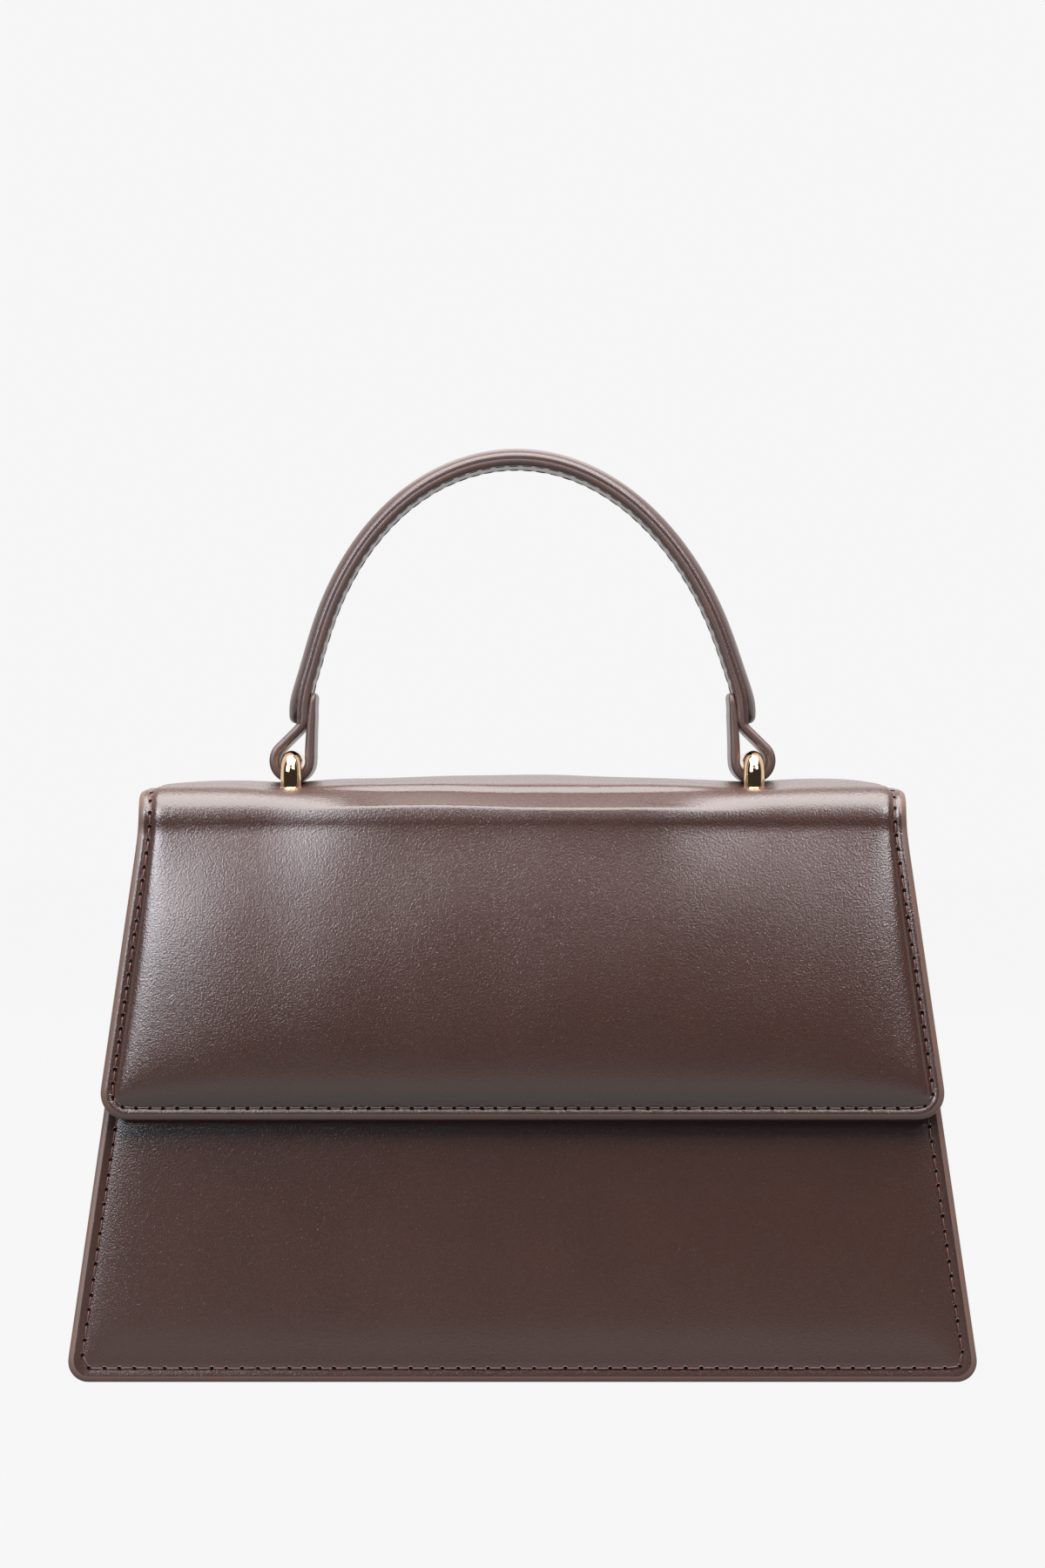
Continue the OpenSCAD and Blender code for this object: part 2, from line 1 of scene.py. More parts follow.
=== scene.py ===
# %% [markdown]
# # A leather satchel
#
# This lesson dresses a imported model of a leather satchel: a stiff bag that is wider at its
# base, with a padded flap and an arched handle whose ends are folded round two gold rings.
# The imported model is the frame. It gives every body its place. The handle, the rings and
# most pieces of the bag's body are parented to an empty named for their body, while the
# flap, the back panel and their seams are fixed where they are made.

import math

import bpy
import numpy as np
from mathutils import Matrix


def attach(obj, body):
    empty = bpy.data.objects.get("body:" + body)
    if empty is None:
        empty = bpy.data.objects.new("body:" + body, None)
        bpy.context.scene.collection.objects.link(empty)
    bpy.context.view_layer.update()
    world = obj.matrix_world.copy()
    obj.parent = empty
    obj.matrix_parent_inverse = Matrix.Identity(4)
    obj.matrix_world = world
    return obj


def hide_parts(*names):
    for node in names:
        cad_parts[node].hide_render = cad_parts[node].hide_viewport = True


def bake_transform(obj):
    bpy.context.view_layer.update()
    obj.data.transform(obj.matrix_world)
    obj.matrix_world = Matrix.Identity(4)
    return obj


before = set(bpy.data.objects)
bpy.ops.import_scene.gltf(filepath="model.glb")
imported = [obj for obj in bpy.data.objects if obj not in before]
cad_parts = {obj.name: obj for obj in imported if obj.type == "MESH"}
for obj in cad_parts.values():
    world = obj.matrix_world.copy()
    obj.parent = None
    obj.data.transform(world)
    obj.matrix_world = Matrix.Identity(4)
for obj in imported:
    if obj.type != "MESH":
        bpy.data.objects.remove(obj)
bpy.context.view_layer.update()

# %% [markdown]
# ## Sizes
#
# All sizes are in millimetres and become metres only when a mesh is made. They are those of
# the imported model. Two lines describe the body: how far a panel lies from the middle at a
# height, and how wide the bag is at a height. Every sheet is drawn from these two lines, so
# that neighbours meet along their seams.

# %% The body's lines
MM = 0.001
BODY_H = 171.0
BASE_W = 264.0
TOP_W = 218.0
BASE_D = 84.0
TOP_D = 50.0
LEAN_K = (BASE_D - TOP_D) / 2 / BODY_H
LEAN = math.atan(LEAN_K)
SIDE_K = (BASE_W - TOP_W) / 2 / BODY_H
SIDE_COS = math.cos(math.atan(SIDE_K))
SIDES = ((-1, "left"), (1, "right"))


def panel_y(z, off=0.0):
    """Distance from the middle to a plane that lies off a panel's outer face, at a height."""
    return BASE_D / 2 - LEAN_K * z + off / math.cos(LEAN)


def half_width(z):
    """Half the bag's width at a height, which falls by SIDE_K for each millimetre up."""
    return BASE_W / 2 - SIDE_K * z


print("lean of the panels:", round(math.degrees(LEAN), 2), "degrees")

# %% [markdown]
# ## Camera and stage
#
# The photograph was taken from a little over a metre, level with the top of the bag, with a
# long lens. A level camera keeps the picture's upright lines upright: tilted down, it would
# let the bag's sides run together.

# %% Camera
CAMERA_AT = (0.0, -1.092, 0.1724)
LENS = 83.66
SENSOR = 36.0
camera_data = bpy.data.cameras.new("camera")
camera_data.lens = LENS
camera_data.sensor_width = SENSOR
camera_data.clip_start = 0.05
camera_data.clip_end = 20.0
camera = bpy.data.objects.new("camera", camera_data)
camera.location = CAMERA_AT
camera.rotation_euler = (math.radians(90), 0.0, 0.0)
bpy.context.scene.collection.objects.link(camera)
bpy.context.scene.camera = camera
bpy.context.scene.view_settings.view_transform = "Standard"
print("camera at", tuple(round(v, 3) for v in camera.location))

# %% [markdown]
# ## Small helpers
#
# Colours are written as sRGB hex codes, as a colour picker shows them, and one function
# turns them to the linear values that shaders need. Another adds a node with its settings
# and its links. A third starts a material, whose output node is always added last.

# %% Colour and nodes
CALF_BROWN = "#452C25"


def linear(code):
    """sRGB hex to linear RGBA: c / 12.92 for dark values, ((c + 0.055) / 1.055) ** 2.4 else."""
    values = []
    for i in (1, 3, 5):
        c = int(code[i:i + 2], 16) / 255
        values.append(c / 12.92 if c <= 0.04045 else ((c + 0.055) / 1.055) ** 2.4)
    return (*values, 1.0)


def add_node(tree, kind, inputs=None, **settings):
    """Adds a node. A setting names an input socket or else one of the node's properties, and
    inputs gives sockets, by name or number, a link or a constant."""
    node = tree.nodes.new(kind)
    for key, value in settings.items():
        name = key.replace("_", " ")
        found = [s for s in node.inputs if s.name.lower() == name]
        if found:
            found[0].default_value = value
        else:
            setattr(node, key, value)
    for target, source in (inputs or {}).items():
        if isinstance(source, bpy.types.NodeSocket):
            tree.links.new(source, node.inputs[target])
        else:
            node.inputs[target].default_value = source
    return node


def new_material(name):
    """An empty material, as (material, its node tree)."""
    material = bpy.data.materials.new(name)
    material.use_nodes = True
    material.node_tree.nodes.clear()
    return material, material.node_tree


print("the leather's colour in linear light:", [round(v, 3) for v in linear(CALF_BROWN)])

# %% [markdown]
# ## Stage
#
# The studio has a white floor and a white wall. Both get their white from their own colour
# for what the camera and the reflections see, because enough lamps to make them white would
# wash out the leather. The floor keeps a small share of plain lit grey, so that the bag's
# shadow shows on it as faintly as in the photograph.

# %% Floor and backdrop
WHITE = "#F6F6F6"
WHITE_SHARE = 0.915
PAPER_SHADE = "#4C4C4C"
FLOOR_SIDE = 6.0
FLOOR_FRONT = -0.45


def seen_rays(tree, path):
    """1 for camera, glossy and transmission rays, and 0 for the rays that light things."""
    seen = path.outputs["Is Camera Ray"]
    for kind in ("Is Glossy Ray", "Is Transmission Ray"):
        either = add_node(
            tree, "ShaderNodeMath", {0: seen, 1: path.outputs[kind]}, operation="MAXIMUM",
        )
        seen = either.outputs[0]
    return seen


def floor_material():
    """Paper floor: lit grey, of which WHITE_SHARE gives way to its own white where it is
    seen and not where it lights."""
    material, tree = new_material("white_paper_floor")
    path = add_node(tree, "ShaderNodeLightPath")
    share = add_node(
        tree, "ShaderNodeMath", {0: seen_rays(tree, path), 1: WHITE_SHARE}, operation="MULTIPLY",
    )
    lit = add_node(tree, "ShaderNodeBsdfDiffuse", color=linear(PAPER_SHADE))
    own = add_node(tree, "ShaderNodeEmission", color=linear("#FFFFFF"), strength=1.0)
    mixed = add_node(
        tree, "ShaderNodeMixShader",
        {0: share.outputs[0], 1: lit.outputs[0], 2: own.outputs[0]},
    )
    add_node(tree, "ShaderNodeOutputMaterial", {"Surface": mixed.outputs[0]})
    return material


floor_mesh = bpy.data.meshes.new("floor")
floor_corners = [(-FLOOR_SIDE, FLOOR_FRONT), (FLOOR_SIDE, FLOOR_FRONT),
                 (FLOOR_SIDE, FLOOR_SIDE), (-FLOOR_SIDE, FLOOR_SIDE)]
floor_mesh.from_pydata([(x, y, 0.0) for x, y in floor_corners], [], [(0, 1, 2, 3)])
floor = bpy.data.objects.new("floor", floor_mesh)
bpy.context.scene.collection.objects.link(floor)
floor_mesh.materials.append(floor_material())
print("the floor's front edge lies at y =", FLOOR_FRONT, "m, just below the picture")

# %% [markdown]
# The world lights the bag evenly and dimly. What the reflections see of it is white behind
# the bag, like the studio's wall, and grey towards the camera, where a studio is dark: that
# is what gives the gold its black stripes and the leather its depth. The camera sees the
# wall's white everywhere, also in a view from behind.

# %% World
ROOM_GREY = "#3A3A3C"
AMBIENT = 0.06
ROOM_ENDS = -0.25
WALL_BEGINS = 0.15


def build_world():
    """Ambient grey for the rays that light, and for those that see a room that turns from
    dark in front to a white wall behind, by the Y of the direction looked in."""
    world = bpy.data.worlds.new("studio")
    bpy.context.scene.world = world
    world.use_nodes = True
    tree = world.node_tree
    tree.nodes.clear()
    path = add_node(tree, "ShaderNodeLightPath")
    toward = add_node(tree, "ShaderNodeTexCoord").outputs["Generated"]
    axes = add_node(tree, "ShaderNodeSeparateXYZ", {0: toward})
    behind = add_node(
        tree, "ShaderNodeMapRange", {0: axes.outputs["Y"]},
        from_min=ROOM_ENDS, from_max=WALL_BEGINS, interpolation_type="SMOOTHSTEP",
    )
    room = add_node(
        tree, "ShaderNodeMix",
        {0: behind.outputs[0], 6: linear(ROOM_GREY), 7: linear(WHITE)}, data_type="RGBA",
    )
    wall = add_node(
        tree, "ShaderNodeMix",
        {0: path.outputs["Is Camera Ray"], 6: room.outputs[2], 7: linear(WHITE)},
        data_type="RGBA",
    )
    lit = add_node(tree, "ShaderNodeBackground", color=(1, 1, 1, 1), strength=AMBIENT)
    own = add_node(tree, "ShaderNodeBackground", {0: wall.outputs[2]}, strength=1.0)
    mixed = add_node(
        tree, "ShaderNodeMixShader",
        {0: seen_rays(tree, path), 1: lit.outputs[0], 2: own.outputs[0]},
    )
    add_node(tree, "ShaderNodeOutputWorld", {"Surface": mixed.outputs[0]})


build_world()
print("ambient strength", AMBIENT)

# %% [markdown]
# Soft boxes light the bag. A large one overhead does most of it and throws the flap's shadow
# down on the front panel. The smooth leather mirrors its lamps as bands, and where those lie
# on the flap is set by three cards in front, which show in the polish and light nothing: one
# at the left, one at the right and a faint one over the camera. Behind the bag a weak box
# shows in the polish, and a second one, which doesn't, lights the back panel.

# %% Lights
AIM = np.array([0.0, -0.02, 0.14])


def soft_box(name, azimuth, elevation, distance, size, radiance, colour="#FFFFFF",
             lights=True, shines=True):
    """A rectangular area light that faces the bag, from a distance in metres. Azimuth 0 is
    the camera's side and turns to the right. The power of such a light is pi * area *
    radiance. lights says whether it lights surfaces, shines whether polish mirrors it."""
    data = bpy.data.lights.new(name, "AREA")
    data.shape = "RECTANGLE"
    data.size = size[0]
    data.size_y = size[1]
    data.energy = math.pi * size[0] * size[1] * radiance
    data.color = linear(colour)[:3]
    az = math.radians(azimuth)
    el = math.radians(elevation)
    way = np.array([math.sin(az) * math.cos(el), -math.cos(az) * math.cos(el), math.sin(el)])
    lamp = bpy.data.objects.new(name, data)
    lamp.location = AIM + distance * way
    lamp.rotation_euler = (math.pi / 2 - el, 0.0, az)
    lamp.visible_camera = False
    lamp.visible_diffuse = lights
    lamp.visible_glossy = shines
    bpy.context.scene.collection.objects.link(lamp)


soft_box("key_box", 0, 74, 1.15, (1.7, 1.25), 8.6)
soft_box("left_box", -36, 25, 1.6, (0.84, 0.74), 17.0, "#F0F6FF", lights=False)
soft_box("right_box", 33, 31, 1.6, (0.50, 0.44), 24.0, "#F4F8FF", lights=False)
soft_box("front_box", 0, 32, 2.0, (0.8, 0.35), 0.8, lights=False)
soft_box("back_box", 180, 38, 1.7, (1.1, 0.8), 1.2)
soft_box("back_fill", 180, 25, 1.7, (1.1, 0.8), 5.0, shines=False)

# %% [markdown]
# ## Materials
#
# Leather, cloth, board and thread all share two things: their colour wanders a little from
# place to place, and a fine grain breaks up what they reflect. Both are noise on Object
# coordinates, so that they need no unwrapping and stay with a piece when it moves. Each
# size below is that of the real pattern in millimetres.

# %% Patterns
NOISE_LOW = 0.3
NOISE_HIGH = 0.7


def mottled(tree, coord, colour, patch, low, high, detail=3.0):
    """A colour whose brightness wanders between low and high times its own, in patches of a
    size in millimetres: noise, most of which lies in NOISE_LOW to NOISE_HIGH, stretched."""
    noise = add_node(
        tree, "ShaderNodeTexNoise", {"Vector": coord}, scale=1000.0 / patch, detail=detail,
    )
    shade = add_node(
        tree, "ShaderNodeMapRange", {0: noise.outputs["Fac"]},
        from_min=NOISE_LOW, from_max=NOISE_HIGH, to_min=low, to_max=high,
    )
    tone = add_node(
        tree, "ShaderNodeHueSaturation", {"Value": shade.outputs[0]}, color=linear(colour),
    )
    return tone.outputs[0]


def grained(tree, coord, grain, depth, strength, detail):
    """A bump of noise: grain is its width and depth its height, both in millimetres."""
    noise = add_node(
        tree, "ShaderNodeTexNoise", {"Vector": coord}, scale=1000.0 / grain, detail=detail,
    )
    bump = add_node(
        tree, "ShaderNodeBump", {"Height": noise.outputs["Fac"]},
        strength=strength, distance=depth * MM,
    )
    return bump.outputs[0]


print("noise of 0.5 mm has a scale of", 1000.0 / 0.5)

# %% [markdown]
# Finished calfskin is dyed through, pressed with a fine grain and sealed with a thin clear
# finish. The eye sees a dark brown with broad soft reflections that the grain breaks up. The
# grain's pebbles are about half a millimetre wide, and the dye varies over centimetres. The
# handle's grain is nearly flat, because its leather is stretched, and the gussets' is matt.

# %% Leather
PORES_PER_PEBBLE = 2.2
PORE_SHARE = 0.35
DYE_PATCH = 22.2
DYE_VARY = 0.06
GLOSS_VARY = 0.04


def leather(name, colour, grain, depth, rough):
    """Calfskin: bent noise for the pebbled grain plus a share of finer noise for its pores,
    which also vary the shine, and wide noise for the dye. grain and depth are millimetres."""
    material, tree = new_material(name)
    coord = add_node(tree, "ShaderNodeTexCoord").outputs["Object"]
    pebbles = add_node(
        tree, "ShaderNodeTexNoise", {"Vector": coord},
        scale=1000.0 / grain, detail=1.0, distortion=0.35,
    )
    pores = add_node(
        tree, "ShaderNodeTexNoise", {"Vector": coord},
        scale=1000.0 * PORES_PER_PEBBLE / grain, detail=1.0,
    )
    height = add_node(
        tree, "ShaderNodeMath",
        {0: pores.outputs["Fac"], 1: PORE_SHARE, 2: pebbles.outputs["Fac"]},
        operation="MULTIPLY_ADD",
    )
    bump = add_node(
        tree, "ShaderNodeBump", {"Height": height.outputs[0]},
        strength=1.0, distance=depth * MM,
    )
    gloss = add_node(
        tree, "ShaderNodeMapRange", {0: pores.outputs["Fac"]},
        from_min=0.25, from_max=0.75, to_min=rough - GLOSS_VARY, to_max=rough + GLOSS_VARY,
    )
    tone = mottled(tree, coord, colour, DYE_PATCH, 1 - DYE_VARY, 1 + DYE_VARY, detail=4.0)
    shader = add_node(
        tree, "ShaderNodeBsdfPrincipled",
        {"Base Color": tone, "Roughness": gloss.outputs[0], "Normal": bump.outputs[0]},
        ior=1.6,
    )
    add_node(tree, "ShaderNodeOutputMaterial", {"Surface": shader.outputs[0]})
    return material


flap_calf = leather("flap_calfskin", CALF_BROWN, grain=0.5, depth=0.085, rough=0.25)
panel_calf = leather("panel_calfskin", CALF_BROWN, grain=0.5, depth=0.065, rough=0.24)
handle_calf = leather("handle_calfskin", "#452D27", grain=0.45, depth=0.008, rough=0.32)
gusset_calf = leather("gusset_calfskin", "#412A23", grain=0.45, depth=0.06, rough=0.42)
print("leathers:", [m.name for m in (flap_calf, panel_calf, handle_calf, gusset_calf)])

# %% [markdown]
# Cut leather edges are sanded round and sealed with acrylic edge paint. It is lighter than
# the leather, and where it wears it shows a warmer brown.

# %% Edge paint
WEAR_PATCH = 8.33
BRUSH_MARKS = 1.667


def edge_paint(name, colour, worn, depth):
    """Acrylic edge paint: an even coat with soft brush marks of a depth in millimetres, worn
    in patches to a warmer brown."""
    material, tree = new_material(name)
    coord = add_node(tree, "ShaderNodeTexCoord").outputs["Object"]
    wear = add_node(
        tree, "ShaderNodeTexNoise", {"Vector": coord}, scale=1000.0 / WEAR_PATCH, detail=5.0,
    )
    share = add_node(
        tree, "ShaderNodeMapRange", {0: wear.outputs["Fac"]}, from_min=0.45, from_max=0.75,
    )
    tone = add_node(
        tree, "ShaderNodeMix",
        {0: share.outputs[0], 6: linear(colour), 7: linear(worn)}, data_type="RGBA",
    )
    marks = grained(tree, coord, BRUSH_MARKS, depth, strength=0.6, detail=2.0)
    shader = add_node(
        tree, "ShaderNodeBsdfPrincipled", {"Base Color": tone.outputs[2], "Normal": marks},
        roughness=0.4, ior=1.49,
    )
    add_node(tree, "ShaderNodeOutputMaterial", {"Surface": shader.outputs[0]})
    return material


body_edge = edge_paint("acrylic_edge_paint", "#705850", "#7C5A4A", depth=0.02)
handle_edge = edge_paint("acrylic_handle_edge_paint", "#54403C", "#62463C", depth=0.006)
print("edge paints:", body_edge.name, handle_edge.name)

# %% [markdown]
# ## Surfaces from two parameters
#
# Every leather sheet of the bag is one closed shell. A plane with Solidify and Bevel could
# give its thickness, but not an edge that is sanded more in front than behind, so the shell
# is worked out. Its outer face is a grid over two parameters: u across the sheet, from -1 to
# 1, and s, the distance along it. A function places a point of that sheet and lifts it off
# the outer face. The inner face is the same grid at another depth, and rings of points
# between the two make the rounded edge.

# %% Spacing of the grid
def graded(start, stop, fine, zone, growth=1.16, most=3.0):
    """Places between two ends: steps of fine within zone of each end, then growing steps."""
    half = (stop - start) / 2
    places = [0.0]
    step = fine
    while places[-1] < half:
        if places[-1] > zone:
            step = min(step * growth, most)
        places.append(places[-1] + step)
    side = np.array(places) * half / places[-1]
    return np.concatenate([start + side, (stop - side)[::-1][1:]])


def grid_quads(rows, cols, start=0, flip=False):
    """The quads of a grid of points that are numbered row by row."""
    index = start + np.arange(rows * cols).reshape(rows, cols)
    quads = np.stack([index[:-1, :-1], index[:-1, 1:], index[1:, 1:], index[1:, :-1]], -1)
    quads = quads.reshape(-1, 4)
    return quads[:, ::-1] if flip else quads


def border(rows, cols):
    """Numbers of a grid's border points, once round."""
    index = np.arange(rows * cols).reshape(rows, cols)
    return np.concatenate([
        index[0, :-1], index[:-1, -1], index[-1, :0:-1], index[:0:-1, 0],
    ])


def strip_quads(first, second):
    """Quads between two closed rings of the same count of points."""
    return np.stack([first, np.roll(first, -1), np.roll(second, -1), second], -1)


print("a grid of 3 by 4 points has", len(grid_quads(3, 4)), "quads")

# %% [markdown]
# A mesh takes its points in metres, its quads and the number of each quad's material. It is
# smooth, but for edges that turn by more than an angle. Which way a shell's faces point
# shows in its volume: added up from all faces, it comes out negative when they point inwards.

# %% Meshes
def unit(vectors):
    """Vectors of length one."""
    return vectors / np.maximum(np.linalg.norm(vectors, axis=-1, keepdims=True), 1e-9)


def new_piece(name, points, quads, materials, marks, sharp=50.0):
    """A mesh object from points in millimetres, quads, and each quad's material number."""
    mesh = bpy.data.meshes.new(name)
    mesh.from_pydata((np.asarray(points) * MM).tolist(), [], np.asarray(quads).tolist())
    for material in materials:
        mesh.materials.append(material)
    mesh.polygons.foreach_set("material_index", np.asarray(marks, np.int32))
    mesh.polygons.foreach_set("use_smooth", np.ones(len(mesh.polygons), bool))
    mesh.set_sharp_from_angle(angle=math.radians(sharp))
    mesh.update()
    piece = bpy.data.objects.new(name, mesh)
    bpy.context.scene.collection.objects.link(piece)
    return piece


def outward(name, points, quads):
    """Turns all quads over if the shell's volume comes out negative."""
    a, b, c, d = (points[quads[:, i]] for i in range(4))
    volume = np.einsum("ij,ij->", a, np.cross(b, c)) + np.einsum("ij,ij->", a, np.cross(c, d))
    print(f"{name}: {len(points)} points, {len(quads)} quads, {abs(volume) / 6000:.1f} cm3")
    return quads if volume > 0 else quads[:, ::-1]


print("a vector of 3 and 4 at length one:", unit(np.array([3.0, 4.0])))

# %% [markdown]
# A sheet's edge is drawn by where its border lies at each share of the way from the outer
# face to the inner one. In front it is sanded back by more than a millimetre, which gives
# the soft painted edge its light line, and behind only a little.

# %% Sheets with a rounded edge
EDGE_FRONT = 1.6
EDGE_BACK = 0.5
WALL = np.array([0, 0.05, 0.12, 0.2, 0.3, 0.42, 0.55, 0.75, 0.9, 1.0])


def edge_inset(share, scale=1.0):
    """How far the border lies inside the outline, from face to face: a sanded bevel of
    EDGE_FRONT * (1 - 2 t)^3.4 in front of the middle and EDGE_BACK * (2 t - 1)^4 behind."""
    front = EDGE_FRONT * np.clip(1 - 2 * share, 0, None) ** 3.4
    back = EDGE_BACK * np.clip(2 * share - 1, 0, None) ** 4
    return scale * (front + back)


def sheet(name, u, v, half, ends, place, depth, lift, materials, edge=1.0, wall=WALL):
    """A closed sheet. u and v run over the grid, half(s, inset) is half its width there,
    ends(inset) the range of s, place(x, s, lift) the point and lift(x, s) the outer face's
    relief. depth is (outer, inner) under the path, and wall the shares of its border rings."""
    rows, cols = len(v), len(u)
    edge_ids = border(rows, cols)
    layers = []
    for t in wall:
        inset = edge_inset(t, edge)
        low, high = ends(inset)
        s = (low + v * (high - low))[:, None] + 0 * u[None, :]
        x = u[None, :] * half(s, inset)
        relief = lift(x, s) * (1 - t)
        points = place(x, s, relief - depth[0] - t * (depth[1] - depth[0]))
        layers.append(points.reshape(-1, 3))
    rims = [layer[edge_ids] for layer in layers[1:-1]]
    points = np.concatenate([layers[0], layers[-1], *rims])
    count = rows * cols
    ids = [edge_ids]
    for k in range(len(rims)):
        ids.append(2 * count + k * len(edge_ids) + np.arange(len(edge_ids)))
    ids.append(edge_ids + count)
    walls = [strip_quads(second, first) for first, second in zip(ids[:-1], ids[1:])]
    quads = [grid_quads(rows, cols), grid_quads(rows, cols, count, flip=True), *walls]
    marks = np.repeat([0, 1] + [2] * len(walls), [len(q) for q in quads])
    return new_piece(name, points, outward(name, points, np.concatenate(quads)), materials, marks)


print("edge inset at the face and in the middle:", edge_inset(0.0), edge_inset(0.5))

# %% [markdown]
# ## The folded skins
#
# The flap is one sheet of leather over foam: it lies on the top, turns over a soft fold and
# hangs down the front. The back panel turns forward over a tighter fold in the same way. So
# one path serves both: a flat run, an arc and a straight lean, and side says which way it goes.

# %% Path of a fold
BEND_STEP = 0.45
BEND_MARGIN = 4


class Fold:
    """A path in the side view: a flat run, an arc round a centre, and the leaning face."""

    def __init__(self, start, centre, radius, side, foot):
        self.centre = centre
        self.radius = radius
        self.side = side
        self.run = abs(start - centre[0])
        self.turn = math.pi / 2 - LEAN
        self.arc = radius * self.turn
        drop = centre[1] + radius * math.sin(LEAN) - foot
        self.length = self.run + self.arc + drop / math.cos(LEAN)

    def at(self, s, lift=0.0):
        """y and z at a distance along the path, lifted along the outward normal."""
        turn = np.clip((s - self.run) / self.radius, 0, self.turn)
        flat = np.minimum(s, self.run) - self.run
        down = np.maximum(s - self.run - self.arc, 0)
        reach = self.radius + lift
        y = reach * np.sin(turn) + flat + down * math.sin(LEAN)
        z = reach * np.cos(turn) - down * math.cos(LEAN)
        return self.centre[0] + self.side * y, self.centre[1] + z

    def place(self, x, s, lift):
        """The point at x across and s along."""
        y, z = self.at(s, lift)
        return np.stack(np.broadcast_arrays(x, y, z), -1)

    def rows(self, fine, corner):
        """Shares of the length for the rows of a grid: steps of fine at both ends, BEND_STEP
        in the fold, and those of a round corner's arc at the foot."""
        foot = self.length - corner * (1 - np.cos(np.linspace(0, math.pi / 2, 13)))
        inner = graded(0.0, foot[-1], fine, 5.0, most=1.6)
        bend = np.arange(self.run - BEND_MARGIN, self.run + self.arc + BEND_MARGIN, BEND_STEP)
        inner = inner[(inner < bend[0] - 0.3) | (inner > bend[-1] + 0.3)]
        places = np.unique(np.round(np.concatenate([inner, bend, foot]), 3))
        keep = np.concatenate([[True], np.diff(places) > 0.03])
        return places[keep] / self.length


FLAP_OVER = 1.3
FLAP_CORNER = 9.0
HEM_Z = 75.5
CORNER = 7.0
flap_fold = Fold(17.835, (-21.169, 160.0), 11.0, -1, HEM_Z)
back_fold = Fold(7.885, (17.885, 161.7), 8.0, 1, 0.0)
print("flap length", round(flap_fold.length, 1), "back length", round(back_fold.length, 1))

# %% [markdown]
# Across, a folded skin is as wide as the bag, and the flap a little wider, so that it hides
# the panel's edge. Both have round corners at the foot, and the flap spreads a little where
# its leather turns over the fold. The distance from the nearest edge, which bends round the
# corners, then says where the seam runs.

# %% Outline of a folded skin
FLARE = 1.2


def corner_half(wide, away, radius):
    """Half a width where a round corner ends it: wide - r + sqrt(r^2 - (r - away)^2)."""
    left = np.clip(radius - away, 0, radius)
    return wide - radius + np.sqrt(np.maximum(radius ** 2 - left ** 2, 0))


def flared(fold, over, s):
    """Half a folded skin's width before its corners: the bag's, what lies over it, and a
    flare at the fold in proportion to that."""
    flare = FLARE * over * np.exp(-((s - fold.run - 4) / 10.0) ** 2)
    return half_width(fold.at(s)[1]) + over + flare


def folded_half(fold, over, corner):
    """The half width along a folded skin, with round corners at its foot."""
    def half(s, inset):
        wide = flared(fold, over, s) - inset / SIDE_COS
        return corner_half(wide, fold.length - inset - s, max(corner - inset, 0.3))
    return half


def round_distance(side, foot, corner):
    """Distance from the nearer of a side and a foot edge, measured round their corner."""
    a = np.maximum(corner - side, 0)
    b = np.maximum(corner - foot, 0)
    return np.where((a > 0) & (b > 0), corner - np.hypot(a, b), np.minimum(side, foot))


def fold_distance(x, s, fold, over, corner):
    """Distance of a point from a folded skin's nearest side or foot edge."""
    side = (flared(fold, over, s) - np.abs(x)) * SIDE_COS
    return round_distance(side, fold.length - s, corner)


flap_half = folded_half(flap_fold, FLAP_OVER, FLAP_CORNER)
back_half = folded_half(back_fold, 0.0, CORNER)
columns = graded(-1.0, 1.0, 0.0028, 0.065, growth=1.12, most=0.018)
print("columns across the flap:", len(columns))

# %% [markdown]
# ## The flap
#
# The foam under the flap's leather fills out between the seams, sinks under the rings' feet
# and sags where the flap folds. A cloth simulation could find such a shape, but this leather
# is stiff, and its reflections have to lie where they do in the photograph. So the relief is
# worked out, as one height that is added to the sheet. First come three small curves that
# the rest is built from.

# %% Curves for relief
def bell(distance, width):
    """A smooth bump: exp(-(distance / width)^2)."""
    return np.exp(-(distance / width) ** 2)


def ease(value, low, high):
    """Smooth step from 0 to 1 between low and high."""
    t = np.clip((value - low) / (high - low), 0, 1)
    return t * t * (3 - 2 * t)


def filling(distance, scale, power=1.0):
    """From 0 at a seam towards 1 inside: 1 - exp(-(distance / scale)^power)."""
    return 1 - np.exp(-(np.clip(distance, 0, None) / scale) ** power)


print("a step of 0 to 1 at a quarter:", ease(0.25, 0, 1))

# %% [markdown]
# The padding has three parts: a pillow that rises steeply from the seams all round, a bulge
# of the front, and a broad swell of its middle, which is what turns the side lamps' bands
# into soft patches. The top is a crown that is fullest in the middle.

# %% Padding of the flap
STITCH_IN = 3.4
SEAM_FLAT = 0.7
PILLOW = 1.0
BULGE = 1.5
BULGE_FROM = 50
SWELL = 4.2
SWELL_FROM = 56
CROWN_AT = 17


def seam_distances(x, s):
    """How far a point lies inside the flap's side seam, hem seam and back seam."""
    side = (flared(flap_fold, FLAP_OVER, s) - np.abs(x)) * SIDE_COS - STITCH_IN - SEAM_FLAT
    return side, flap_fold.length - s - STITCH_IN - SEAM_FLAT, s - STITCH_IN


def flap_padding(x, s):
    """The foam's lift: pillow, bulge and swell, each the product of its fillings from the
    side, from the hem, and from the back seam or the fold."""
    side, hem, back = seam_distances(x, s)
    pillow = PILLOW * filling(side, 1.1) * filling(hem, 2.0) * filling(back, 6.0)
    bulge = BULGE * filling(side, 3.0) * filling(hem, 4.5) * filling(s - BULGE_FROM, 26, 1.2)
    swell = SWELL * filling(side, 21.0) * filling(hem, 14.0) * filling(s - SWELL_FROM, 24, 1.35)
    return pillow + bulge + swell


